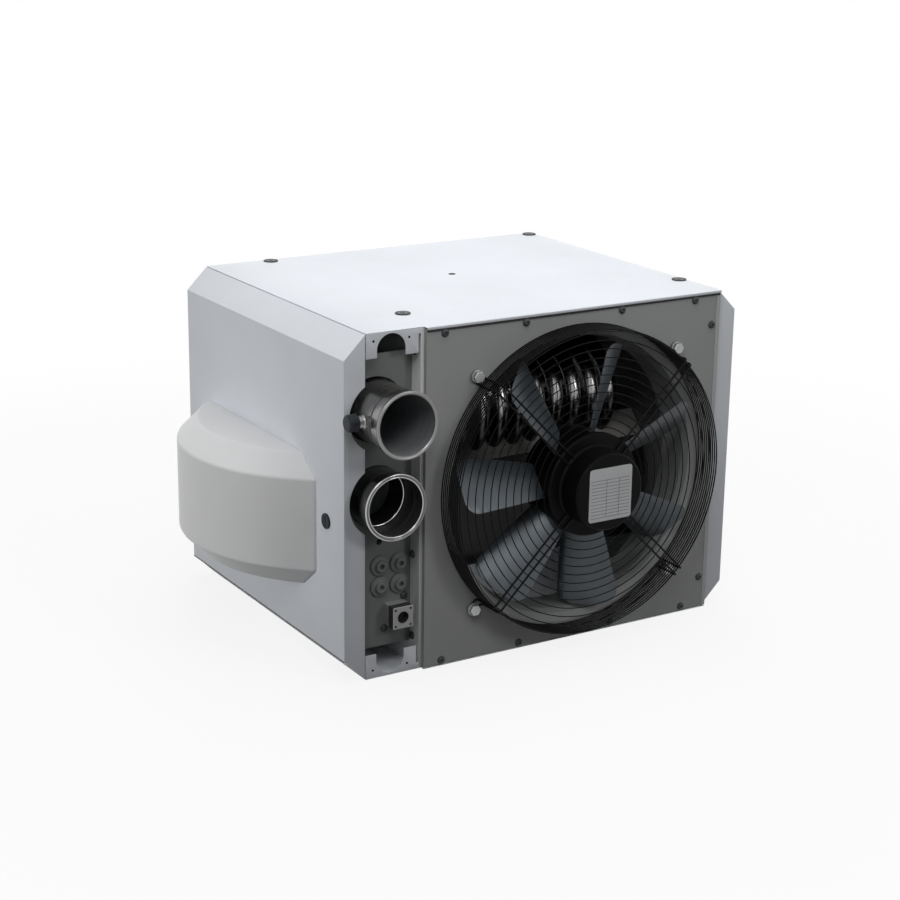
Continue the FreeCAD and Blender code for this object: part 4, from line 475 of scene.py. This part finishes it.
def holed(corners, bore, depth, origin):
    """A square plate with rounded corners and a round hole, drawn out along the Y axis."""
    around, corner_reach = 48, 1.36
    outline = [(math.atan2(v, u), u, v) for u, v in eased(corners)]
    half = max(u for u, v, r in corners)
    for k in range(around):
        a = 2 * math.pi * (k + 0.5) / around - math.pi
        reach = half / max(abs(math.cos(a)), abs(math.sin(a)))
        if reach < half * corner_reach:
            outline.append((a, reach * math.cos(a), reach * math.sin(a)))
    outline.sort()
    bm = bmesh.new()
    outer, inner = [], []
    for level in (0.0, depth):
        base = origin + Y * level
        outer.append([bm.verts.new(base + X * u + Z * v) for a, u, v in outline])
        hole = [X * (bore * math.cos(a)) + Z * (bore * math.sin(a)) for a, u, v in outline]
        inner.append([bm.verts.new(base + point) for point in hole])
    for rings in (*zip(outer, inner), outer, inner):
        skin(bm, rings)
    return bm


def softened(node, width, segments, angle=35, shortest=3.0):
    """A solid's own shape with its long sharp edges rounded."""
    bm = bmesh.new()
    bm.from_mesh(nodes[node].data)
    bmesh.ops.remove_doubles(bm, verts=bm.verts, dist=WELD)
    flat = math.radians(0.5)
    bmesh.ops.dissolve_limit(bm, angle_limit=flat, verts=bm.verts, edges=bm.edges)
    limit = math.radians(angle)
    picked = []
    for edge in bm.edges:
        sharp = len(edge.link_faces) == 2 and edge.calc_face_angle(0) > limit
        if sharp and edge.calc_length() > shortest * MM:
            picked.append(edge)
    bmesh.ops.bevel(bm, geom=picked, offset=width * MM, offset_type="OFFSET", segments=segments,
                    profile=0.5, affect="EDGES", clamp_overlap=True)
    piece(f"{node}_soft", bm, node)


# Casing and other folded or moulded pieces, with the width in millimetres of their soft edges

WIDE_EDGE = 0.8
SOFT = {
    "top_panel": 0.6, "bottom_panel": 0.6, "left_side_cover": 0.9, "left_wall": 0.5,
    "partition_wall": 0.5, "front_panel": 0.5, "outlet_frame": 0.7, "connection_plate": 0.5,
    "upper_bracket": 0.5, "lower_bracket": 0.5, "service_door": 0.9, "chamber_support": 0.6,
    "burner_flange": 1.0, "gas_valve": 2.0, "control_box": 1.2, "blower_housing": 1.2,
    "lock_keeper": 0.4, "door_lock": 0.5, "rotor_hub": 1.2, "flue_collector": 2.0,
}
SOFT.update({f"louvre_{i}": 0.4 for i in range(1, 9)})
for solid, edge_width in SOFT.items():
    softened(solid, edge_width, 3 if edge_width > WIDE_EDGE else 2)


# Fan side

def fan_guard():
    """Rings of round wire on four hairpins, each from the motor over the rim and round a bolt."""
    wire, thin = 3.5 * MM, 2.4 * MM
    radius, depth = 255 * MM, 56 * MM
    around = 112
    back = Vector((FAN.x, PLATE, FAN.z))
    wires = []
    face_rings, face_pitch, face_wire = 12, 14.2 * MM, 0.9 * MM
    face = back + Y * (depth - wire - thin / 2)
    for i in range(face_rings):
        ring = circle_path(face, Y, radius - wire - i * face_pitch, around)
        wires.append(sweep(ring, face_wire, 8, True))
    drum_rings, drum_pitch, drum_wire = 10, 5.2 * MM, 1.1 * MM
    for i in range(drum_rings):
        level = back + Y * (thin / 2 + i * drum_pitch)
        wires.append(sweep(circle_path(level, Y, radius - thin / 2, around), drum_wire, 8, True))
    half, eye_steps = 7 * MM, 12
    start, outer, bolt = 66 * MM, radius + wire / 2, GUARD_BOLT * math.sqrt(2)
    front, foot = depth - wire / 2, wire / 2
    leg = [(start, front), (outer, front), (outer, foot), (bolt, foot)]
    for i in range(4):
        a = math.radians(45 + 90 * i)
        out = Vector((math.cos(a), 0, math.sin(a)))
        across = Vector((-math.sin(a), 0, math.cos(a)))
        path = [back + out * r + Y * h + across * half for r, h in leg]
        eye = []
        for k in range(1, eye_steps):
            b = math.pi * k / eye_steps
            reach = out * (bolt + half * math.sin(b))
            eye.append(back + reach + Y * foot + across * (half * math.cos(b)))
        other = [back + out * r + Y * h - across * half for r, h in reversed(leg)]
        wires.append(sweep(curved(path, half) + eye + curved(other, half), wire / 2, 10))
    piece("fan_guard_wires", gathered(wires), "fan_guard", sharp=60)


def guard_bolts():
    """Hexagon bolts with rounded crowns on washers."""
    lift, spanner = 3.5, 17
    corner = spanner / math.sqrt(3)
    washer = in_mm((0, 0, 0), (10.5, 0, 0.5), (10.5, 2, 0.7), (0, 2, 0))
    head = in_mm((corner, 2), (corner, 8), (corner * 0.88, 9), (0, 9))
    shank = in_mm((5, -lift), (5, 0.2))
    parts = []
    for i, j in CORNERS:
        seat = Vector((FAN.x + i * GUARD_BOLT, PLATE + lift * MM, FAN.z + j * GUARD_BOLT))
        parts.append(lathe(eased(washer), seat, Y, 40, False))
        parts.append(lathe(head, seat, Y, 6, False))
        parts.append(lathe(shank, seat, Y, 24, False))
    piece("guard_bolt_heads", gathered(parts), "guard_bolts", sharp=25)


def motor():
    """Stepped motor with a blank ruled plate on its cap."""
    low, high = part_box("motor_stator")
    cap = (high.y - low.y) / MM
    step = 10
    body = in_mm((0, 0, 0), (85, 0, 0.6), (86, 1, 0.6), (86, step - 2.5, 1.5),
                 (83.5, step, 1.5), (67, step, 2), (64, step + 3, 2), (64, cap - 3, 2),
                 (61, cap, 2), (0, cap, 0))
    seat = Vector((FAN.x, low.y, FAN.z))
    piece("motor_body", lathe(eased(body), seat, Y, 96, False), "motor_stator")
    card = in_mm(*oblong(-41, -44, 41, 44, 6))
    thick = 0.4 * MM
    face = Vector((FAN.x - 1 * MM, high.y, FAN.z - 2 * MM))
    piece("motor_plate", plate(card, thick, face, -X, Z), "motor_stator", "label_white", False)
    row_count, pitch, foot, line = 12, 5.6, -38, 0.8
    head = foot + (row_count - 1) * pitch
    rules = []
    for i in range(row_count):
        v = foot + i * pitch
        row = in_mm(*oblong(-37, v, 37, v + line))
        rules.append(plate(row, 0.08 * MM, face + Y * thick, -X, Z))
    for u in (-8, 16):
        column = in_mm(*oblong(u, foot, u + line, head))
        rules.append(plate(column, 0.06 * MM, face + Y * thick, -X, Z))
    piece("motor_plate_rules", gathered(rules), "motor_stator", "label_rule", False)


fan_guard()
guard_bolts()
motor()
softened("fan_blades", 0.7, 3, 45, 1.0)


# Heat exchanger

def exchanger_tubes():
    """Ten bent tubes from the chamber's shoulder to the collector."""
    count, pitch, tube = 10, 36.5 * MM, 12.5 * MM
    radius, middle_y, middle_z = 80 * MM, 70 * MM, 361 * MM
    first, swing, steps = -45, 105, 32
    leg = 100 * MM
    path = []
    for i in range(steps + 1):
        a = math.radians(first + swing * i / steps)
        path.append(Vector((0, middle_y + radius * math.cos(a), middle_z + radius * math.sin(a))))
    run = (path[-1] - path[-2]).normalized()
    path.append(path[-1] + run * leg)
    tubes = []
    for i in range(count):
        x = FAN.x + (i - (count - 1) / 2) * pitch
        tubes.append(sweep([point + X * x for point in path], tube, 24))
    piece("exchanger_tube_bends", gathered(tubes), "exchanger_tubes", "tube_steel")


def chamber_shoulder():
    """Pale sheet on the sloped shoulder under the tubes."""
    low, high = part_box("combustion_chamber")
    inset, rise = 2 * MM, 52 * MM
    foot = Vector((high.x - inset, 149 * MM, 282 * MM))
    outline = oblong(0, 0, high.x - low.x - 2 * inset, rise, 2 * MM)
    up = Vector((0, -1, 1)).normalized()
    sheet = plate(outline, 0.8 * MM, foot, -X, up)
    piece("chamber_shoulder_sheet", sheet, "combustion_chamber", "shoulder_grey", False)


def chamber_lip():
    """A dark sheet standing up along the front edge of the chamber's top, in the chamber's
    near-black steel: painted shade behind the tubes.
    """
    low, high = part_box("combustion_chamber")
    base = Vector((0, low.y + 2 * MM, high.z))
    left, right = low.x + 1 * MM, high.x - 1 * MM
    sunk, rise, corner = -1 * MM, 50 * MM, 5 * MM
    outline = [(left, sunk, 0), (right, sunk, 0), (right, rise, corner), (left, rise, corner)]
    sheet = plate(outline, 1 * MM, base, X, Z)
    piece("chamber_top_lip", sheet, "combustion_chamber", None, False)


exchanger_tubes()
chamber_shoulder()
chamber_lip()


# Pipes, with their radii and ends in millimetres

BARREL, SOCKET = 49, 51.2
RIM, LIP_START = 53.2, 51.1
PIPE_SIDES = 96


def pipe_skin(start, end):
    """Outside of a connection pipe: a barrel that widens to the socket, with a thin wall."""
    socket = end - 25
    widening, steps = 8, 6
    outside = [(48.5, start), (BARREL, start), (BARREL, socket - widening)]
    for k in range(1, steps + 1):
        t = k / steps
        radius = BARREL + (SOCKET - BARREL) * (t * t * (3 - 2 * t))
        outside.append((radius, socket - widening * (1 - t)))
    outside += [(SOCKET, end - 8), (50.6, end - 8), (50.6, socket), (48.5, socket - 2)]
    return in_mm(*outside)


def pipe_rim(end, lip):
    """Rolled rim of a socket, turned in to a lip."""
    roll_steps, lip_steps = 8, 6
    rim = [(50.7, end - 8.5), (51.3, end - 8.5), (52.4, end - 7.6), (53.0, end - 6.2)]
    rim.append((RIM, end - 4.6))
    for k in range(1, roll_steps + 1):
        a = math.radians(90 * k / roll_steps)
        rim.append((RIM - (RIM - LIP_START) * (1 - math.cos(a)), end - 4.6 + 4.3 * math.sin(a)))
    for k in range(1, lip_steps + 1):
        t = k / lip_steps
        rim.append((LIP_START + (lip - LIP_START) * t, end - 0.3 - 2.4 * t * t))
    return in_mm(*rim, (lip, end - 3.8), (50.2, end - 4.6))


def pipe_lining(start, end):
    """Inside of a connection pipe, a smooth thin sleeve."""
    return in_mm((48, start), (48, end - 4), (48.4, end - 4), (48.4, start))


def bead(axis, along, radius, wire):
    """A thin bead round a pipe's mouth; its callers give it a brighter steel than the rim, as a
    painted highlight.
    """
    ring = circle_path(axis + Y * (along * MM), Y, radius * MM, PIPE_SIDES)
    return sweep(ring, wire * MM, 10, True)


def pipe_turned(profile, axis):
    """A profile turned about a pipe's axis."""
    return lathe(profile, axis, Y, PIPE_SIDES)


def flue():
    """Flue pipe with its rim, a bead in a brighter steel than the rim as a painted highlight, and
    the spout of its test port.
    """
    low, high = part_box("flue_pipe")
    start, end = low.y / MM, high.y / MM
    spout = in_mm((8, 48.6), (12.2, 48.6), (11, 49.8), (10.5, 51.4), (10.5, 72.5), (10, 73),
                  (8.4, 73), (8, 72.6))
    shapes = (
        ("flue_pipe_turned", pipe_turned(pipe_skin(start, end), FLUE), None),
        ("flue_pipe_rim", pipe_turned(pipe_rim(end, 47.2), FLUE), "dull_steel"),
        ("flue_pipe_bead", bead(FLUE, end - 2.6, 52.3, 1.15), "satin_steel"),
        ("flue_port_spout", lathe(spout, TEST_PORT, X, 40), "satin_steel"),
        ("flue_pipe_lining", pipe_turned(pipe_lining(start, end), FLUE), "inner_steel"),
    )
    for name, shape, look in shapes:
        piece(name, shape, "flue_pipe", look)


def air_inlet():
    """Air socket in a darkened steel, a painted dark reflection, with beads at its mouth and a
    ring deep inside in bright steel as painted highlights.
    """
    low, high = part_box("air_inlet_socket")
    start, end = low.y / MM, high.y / MM
    beads = [bead(AIR_INLET, end - 2.6, 52.2, 1.6), bead(AIR_INLET, end - 2.9, 47.9, 1.2)]
    beads.append(bead(AIR_INLET, 263, 45.8, 2.2))
    shapes = (
        ("air_inlet_turned", pipe_turned(pipe_skin(start, end), AIR_INLET), "dark_steel"),
        ("air_inlet_rim", pipe_turned(pipe_rim(end, 47.8), AIR_INLET), "dark_steel"),
        ("air_inlet_beads", gathered(beads), "bright_steel"),
        ("air_inlet_lining", pipe_turned(pipe_lining(start, end), AIR_INLET), "painted_shade_lining"),
    )
    for name, shape, look in shapes:
        piece(name, shape, "air_inlet_socket", look)


def port_cap():
    """Push-on cap of the test port."""
    low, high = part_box("test_port_cap")
    base = Vector((low.x, TEST_PORT.y, TEST_PORT.z))
    length = (high.x - low.x) / MM
    bore, wall = 10.6, 3
    cap = in_mm((bore, 0, 0.3), (13.4, 0, 0.5), (14, 1.5, 0.6), (13.4, 5, 1),
                (13.6, length - wall, 2), (11.5, length, 1.5), (0, length, 0),
                (0, length - wall, 0), (bore, length - wall, 0.5))
    piece("test_port_cap_turned", lathe(eased(cap), base, X, 48), "test_port_cap")


def seal():
    """Rubber lip round the air socket."""
    low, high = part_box("air_inlet_seal")
    axis = Vector((AIR_INLET.x, low.y, AIR_INLET.z))
    outer = (high.x - low.x) / 2 / MM
    depth = (high.y - low.y) / MM
    lip = in_mm((outer, 0, 0.4), (outer, depth, 0.4), (outer - 1, depth, 0.4),
                (outer - 2.2, depth * 0.5, 0.5), (outer - 1, 0, 0.4))
    piece("air_inlet_lip", lathe(eased(lip), axis, Y, 80), "air_inlet_seal")


flue()
air_inlet()
port_cap()
seal()


# Connection recess and small fittings

def cable_glands():
    """Grommets with a wide flange, a raised ring and a dimple."""
    middle_x, middle_z, half_pitch = 277.5 * MM, 159 * MM, 17.5 * MM
    shape = in_mm((16.5, 0, 0), (16.5, 4, 1.8), (12.4, 4.6, 1.5), (10, 6, 1.2), (9.4, 9.4, 1.2),
                  (7.5, 10, 0.8), (4.4, 10, 0.8), (4, 8.6, 0.5), (4, 4, 0.3), (0, 4, 0))
    parts = []
    for i in (-1, 1):
        for j in (-1, 1):
            base = Vector((middle_x + i * half_pitch, RECESS, middle_z + j * half_pitch))
            parts.append(lathe(eased(shape), base, Y, 48, False))
    piece("cable_gland_caps", gathered(parts), "cable_glands")


def top_hole_shade():
    """Dark shallow cup with a thin flange, in the small hole of the top panel: painted shade for
    the hole.
    """
    mouth = Vector((-5 * MM, -27 * MM, TOP))
    flange, stem = 6.4, 4.4
    cup = in_mm((0, -0.2, 0), (3, -0.2, 0.2), (3.5, 0.4, 0.2), (5.6, 0.5, 0.3),
                (flange, 0.15, 0.1), (flange, -0.02, 0), (stem, -0.02, 0), (stem, -1.3, 0.2),
                (0, -1.3, 0))
    shape = lathe(eased(cup), mouth, Z, 32, False)
    piece("top_hole_painted_shade", shape, "top_panel", "rubber", False)


def bracket_rivets():
    """Dark blind rivets, each with a dished end, in the small holes of the two rear brackets."""
    inset = 13.5 * MM
    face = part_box("upper_bracket")[1].y
    radius = 2.02
    end = in_mm((0, -0.4, 0), (1.3, -0.4, 0.1), (radius, -0.05, 0.1), (radius, -1.4, 0.1),
                (0, -1.4, 0))
    rivets = []
    for x in (259 * MM, 321 * MM):
        for z in (inset, TOP - inset):
            rivets.append(lathe(eased(end), Vector((x, face, z)), Y, 24, False))
    piece("bracket_rivets", gathered(rivets), "upper_bracket", "motor_coat", False)


def screw(seat, axis):
    """Pan head with a socket."""
    head = in_mm((6.5, 0, 0), (6.5, 1.6, 0.9), (3.6, 4, 2), (2.2, 4, 0.2), (2, 2.2, 0.2),
                 (0, 2.0, 0))
    return lathe(eased(head), seat, axis, 32, False)


def plate_screws():
    """Screws along the fan plate's top and bottom, and two at its side."""
    low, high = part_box("fan_plate")
    middle, edge, side_inset, side_rise = -40 * MM, 7 * MM, 16 * MM, 223 * MM
    seats = []
    for pitch in (481 * MM, 184 * MM):
        for side in (-1, 1):
            x = middle + side * pitch / 2
            seats.append(Vector((x, PLATE, high.z - edge)))
            seats.append(Vector((x, PLATE, low.z + edge)))
    for side in (-1, 1):
        seats.append(Vector((low.x + side_inset, PLATE, FAN.z + side * side_rise)))
    piece("plate_screw_heads", gathered([screw(seat, Y) for seat in seats]), "plate_screws")


def recess_screws():
    """Screws in the partition's side and beside the gas block."""
    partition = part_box("connection_plate")[0].x
    lift, middle_x, middle_z = 7.5 * MM, 268 * MM, 94 * MM
    half_x, half_z = 18 * MM, 24.5 * MM
    heads = []
    for z in (50 * MM, 188 * MM, 518 * MM):
        heads.append(screw(Vector((partition, RECESS + lift, z)), X))
    for side in (-1, 1):
        seat = Vector((middle_x + side * half_x, RECESS, middle_z - side * half_z))
        heads.append(screw(seat, Y))
    piece("recess_screw_heads", gathered(heads), "recess_screws")


def gas_flange():
    """Square block: a dark front half with a machined face, on a lighter half behind it."""
    low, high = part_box("gas_inlet_flange")
    half = (high.x - low.x) / 2
    middle = (low.y + high.y) / 2
    centre = Vector(((low.x + high.x) / 2, 0, (low.z + high.z) / 2))
    square = oblong(-half, -half, half, half, 1 * MM)
    bore, skim = 10 * MM, 1.2 * MM
    layers = (
        ("gas_block_front", middle, high.y - skim - middle, "block_dark"),
        ("gas_block_rear", low.y, middle - low.y, "block_grey"),
        ("gas_block_face", high.y - skim, skim, "block_face"),
    )
    for name, start, depth, look in layers:
        block = holed(square, bore, depth, centre + Y * start)
        piece(name, block, "gas_inlet_flange", look)
    # Flat dark discs on the face at the four holes: painted shade for the holes.
    half_pitch = 13.5 * MM
    mouth = in_mm((0, 0, 0), (2.1, 0, 0), (2.1, 0.16, 0.05), (0, 0.16, 0))
    holes = []
    for i, j in CORNERS:
        seat = centre + X * (i * half_pitch) + Z * (j * half_pitch) + Y * (high.y - 0.1 * MM)
        holes.append(lathe(eased(mouth), seat, Y, 24, False))
    piece("gas_block_hole_shades", gathered(holes), "gas_inlet_flange", "rubber", False)
    # Thin bright wires along the face's top and side edges: painted highlights.
    corner = centre + Y * (high.y - 0.3 * MM)
    reach, line = 0.96, 0.45 * MM
    edge = [corner + X * half * s + Z * half for s in (-reach, reach)]
    side = [corner + X * half + Z * half * s for s in (-reach, reach)]
    painted_edge_highlights = [sweep(edge, line, 8), sweep(side, line, 8)]
    piece("gas_block_painted_edge_highlights", gathered(painted_edge_highlights), "gas_inlet_flange", "satin_steel", False)


def inserts():
    """Threaded inserts in the top panel: a dark flange round a bright bored barrel."""
    low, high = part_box("suspension_inserts")
    top = (high.z - low.z) / MM
    middle_x, middle_y, half_x, half_y = -51 * MM, -37 * MM, 270 * MM, 230 * MM
    seat = top - 2
    flange = in_mm((7, seat, 0), (12.5, seat, 0.3), (12.5, top, 0.8), (7, top, 0.3))
    barrel = in_mm((6.5, 0, 0.5), (6.5, seat, 0), (7, seat, 0), (7, top, 0.4), (5.2, top, 0.4),
                   (4.3, top - 1.2, 0.3), (4.3, 0, 0.3))
    flanges, barrels = [], []
    for i, j in CORNERS:
        base = Vector((middle_x + i * half_x, middle_y + j * half_y, low.z))
        flanges.append(lathe(eased(flange), base, Z, 48))
        barrels.append(lathe(eased(barrel), base, Z, 48))
    piece("suspension_insert_barrels", gathered(barrels), "suspension_inserts", "dull_steel")
    piece("suspension_insert_rings", gathered(flanges), "suspension_inserts", "washer_grey")


cable_glands()
top_hole_shade()
bracket_rivets()
plate_screws()
recess_screws()
gas_flange()
inserts()


# Hood and edge trims

def hood():
    """Moulded hood: a drum cut by the door's face, with rounded sloped edges."""
    low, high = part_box("hood")
    axis = Vector((222 * MM, -26 * MM, 0))
    chamfer, shoulder, brow, across = 34 * MM, 6 * MM, 9 * MM, 96
    near, reach = low.x - axis.x, high.x - axis.x
    slope = reach - chamfer
    corners = [(near, low.z, 0), (slope, low.z, shoulder), (reach, low.z + chamfer, brow),
               (reach, high.z - chamfer, brow), (slope, high.z, shoulder), (near, high.z, 0)]
    section = eased(corners, 8)
    shares = (0.0005, 0.02, 0.1, 0.3, 0.6)
    start = [(near + (section[1][0] - near) * t, low.z) for t in shares]
    finish = [(near + (section[-2][0] - near) * t, high.z) for t in reversed(shares)]
    bm = bmesh.new()
    rows = []
    for r, z in start + section[1:-1] + finish:
        span = math.acos(min(near / r, 1))
        row = []
        for k in range(across + 1):
            a = span * (2 * k / across - 1)
            row.append(bm.verts.new((axis.x + r * math.cos(a), axis.y + r * math.sin(a), z)))
        rows.append(row)
    for lower, upper in zip(rows, rows[1:]):
        for k in range(across):
            bm.faces.new([lower[k], lower[k + 1], upper[k + 1], upper[k]])
    wall = piece("hood_shell", bm, "hood", sharp=60).modifiers.new("wall", "SOLIDIFY")
    wall.thickness = 3 * MM
    wall.offset = -1.0


def edge_strips():
    """A dark strip under the top panel's lip as painted shadow, a hem on the fan plate's side
    edge, and a dark strip on the service door's lower edge as painted shade.
    """
    low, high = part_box("fan_plate")
    # Dark strip under the top panel's lip: painted shadow of the lip.
    strip = oblong(low.x + 1 * MM, -3 * MM, high.x - 1 * MM, 0.2 * MM, 0.4 * MM)
    shape = plate(strip, 1.4 * MM, Vector((0, PLATE + 1.2 * MM, high.z)), X, Z)
    piece("plate_top_painted_shadow", shape, "fan_plate", "rubber", False)
    edge = -low.x
    strip = oblong(edge - 7.5 * MM, low.z + 1 * MM, edge - 0.2 * MM, high.z - 4 * MM, 0.4 * MM)
    shape = plate(strip, 1 * MM, Vector((0, PLATE - 0.05 * MM, 0)), -X, Z)
    piece("plate_side_hem", shape, "fan_plate", "hem_grey", False)
    # Dark strip along the door's lower edge: painted shade where the face turns under.
    low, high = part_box("service_door")
    strip = oblong(low.y + 1 * MM, -1.5 * MM, high.y - 0.3 * MM, 0.5 * MM, 0.3 * MM)
    shape = plate(strip, 0.8 * MM, Vector((high.x - 0.5 * MM, 0, 38 * MM)), Y, Z)
    piece("door_edge_painted_shade", shape, "service_door", "edge_shade_grey", False)


hood()
edge_strips()


# Studio

AMBIENT = 0.085
FLOOR_BOUNCE = 0.04
FLOOR_GLOW = 0.86
FLOOR_GREY = 0.9
FLOOR_HALF = 40
FLOOR_DROP = 0.0005
FADE_START, FADE_END = 0.7, 2.0
# Name, place, point that it faces, size, power, and whether polished surfaces mirror it
LAMPS = (
    ("overhead", (-0.1, 0.0, 2.3), (0.0, -0.02, 0.3), 2.4, 36, False),
    ("key", (1.0, 1.4, 1.75), (0.1, 0.28, 0.35), 0.7, 7, True),
    ("side", (2.2, -0.3, 0.45), (0.4, 0.0, 0.26), 0.85, 12.4, False),
    ("rear", (-0.55, 1.95, 1.12), (-0.15, 0.25, 0.3), 0.45, 4.6, True),
    ("front", (-1.0, -2.1, 1.1), (0.0, -0.3, 0.3), 1.4, 10.5, False),
    ("left", (-2.2, 0.1, 1.0), (-0.37, 0.0, 0.3), 1.4, 10, False),
)
VIEW_AZIMUTH, VIEW_ELEVATION, VIEW_ROLL = 148.458, 16.891, 0.776
VIEW_PLACE = (1.7455, 2.826, 1.263)
LENS, SENSOR = 80.0, 36


def seen_rays(tree_nodes, links):
    """1 for what is seen directly, mirrored or through glass."""
    path = tree_nodes.new("ShaderNodeLightPath")
    total = path.outputs["Is Camera Ray"]
    for name in ("Is Glossy Ray", "Is Transmission Ray"):
        either = tree_nodes.new("ShaderNodeMath")
        either.operation = "MAXIMUM"
        links.new(total, either.inputs[0])
        links.new(path.outputs[name], either.inputs[1])
        total = either.outputs[0]
    return total


def floor():
    """Pale floor that keeps the shadow near the heater and fades to white away from it."""
    mesh = bpy.data.meshes.new("floor")
    mesh.from_pydata([(i * FLOOR_HALF, j * FLOOR_HALF, 0) for i, j in CORNERS], [], [(0, 1, 2, 3)])
    item = bpy.data.objects.new("floor", mesh)
    bpy.context.scene.collection.objects.link(item)
    item.location.z = -FLOOR_DROP
    material, tree_nodes, links = new_material("floor")
    shaded = tree_nodes["Principled BSDF"]
    shaded.inputs["Base Color"].default_value = (FLOOR_GREY, FLOOR_GREY, FLOOR_GREY, 1)
    shaded.inputs["Roughness"].default_value = 1.0
    shaded.inputs["Specular IOR Level"].default_value = 0.0
    dim = tree_nodes.new("ShaderNodeBsdfDiffuse")
    dim.inputs["Color"].default_value = (FLOOR_BOUNCE, FLOOR_BOUNCE, FLOOR_BOUNCE, 1)
    glow = tree_nodes.new("ShaderNodeEmission")
    pale = tree_nodes.new("ShaderNodeMixShader")
    place = tree_nodes.new("ShaderNodeTexCoord")
    reach = tree_nodes.new("ShaderNodeVectorMath")
    reach.operation = "LENGTH"
    links.new(place.outputs["Object"], reach.inputs[0])
    fade = tree_nodes.new("ShaderNodeMapRange")
    fade.interpolation_type = "SMOOTHSTEP"
    fade.inputs["From Min"].default_value = FADE_START
    fade.inputs["From Max"].default_value = FADE_END
    fade.inputs["To Min"].default_value = FLOOR_GLOW
    fade.inputs["To Max"].default_value = 1.0
    links.new(reach.outputs["Value"], fade.inputs["Value"])
    links.new(fade.outputs["Result"], pale.inputs["Fac"])
    links.new(shaded.outputs[0], pale.inputs[1])
    links.new(glow.outputs[0], pale.inputs[2])
    mix = tree_nodes.new("ShaderNodeMixShader")
    links.new(seen_rays(tree_nodes, links), mix.inputs["Fac"])
    links.new(dim.outputs[0], mix.inputs[1])
    links.new(pale.outputs[0], mix.inputs[2])
    links.new(mix.outputs[0], tree_nodes["Material Output"].inputs["Surface"])
    mesh.materials.append(material)


def world():
    """White surroundings where they are seen, and a faint even light elsewhere."""
    scene_world = bpy.data.worlds.new("studio")
    bpy.context.scene.world = scene_world
    scene_world.use_nodes = True
    tree_nodes, links = scene_world.node_tree.nodes, scene_world.node_tree.links
    background = tree_nodes["Background"]
    background.inputs["Color"].default_value = (1, 1, 1, 1)
    span = tree_nodes.new("ShaderNodeMapRange")
    span.inputs["To Min"].default_value = AMBIENT
    span.inputs["To Max"].default_value = 1.0
    links.new(seen_rays(tree_nodes, links), span.inputs["Value"])
    links.new(span.outputs["Result"], background.inputs["Strength"])


def softbox(name, place, aim, size, power, mirrored):
    """A square lamp that faces a point, seen in polished surfaces only if it is mirrored."""
    light = bpy.data.lights.new(name, "AREA")
    light.shape = "SQUARE"
    light.size = size
    light.energy = power
    item = bpy.data.objects.new(name, light)
    item.location = place
    item.rotation_euler = (Vector(place) - Vector(aim)).to_track_quat("Z", "Y").to_euler()
    item.visible_glossy = mirrored
    bpy.context.scene.collection.objects.link(item)


def camera():
    """A view from behind the heater, on its service side."""
    azimuth, elevation = math.radians(VIEW_AZIMUTH), math.radians(VIEW_ELEVATION)
    roll = math.radians(VIEW_ROLL)
    away = Vector((math.sin(azimuth), -math.cos(azimuth), 0)) * math.cos(elevation)
    back = away + Z * math.sin(elevation)
    right = Vector((math.cos(azimuth), math.sin(azimuth), 0))
    up = back.cross(right)
    tilted = right * math.cos(roll) + up * math.sin(roll)
    upright = back.cross(tilted)
    lens = bpy.data.cameras.new("camera")
    lens.sensor_width = SENSOR
    lens.lens = LENS
    item = bpy.data.objects.new("camera", lens)
    turn = Matrix((tilted, upright, back)).transposed().to_4x4()
    item.matrix_world = Matrix.Translation(VIEW_PLACE) @ turn
    bpy.context.scene.collection.objects.link(item)
    bpy.context.scene.camera = item


floor()
world()
for lamp in LAMPS:
    softbox(*lamp)
camera()
bpy.context.scene.view_settings.view_transform = "Standard"
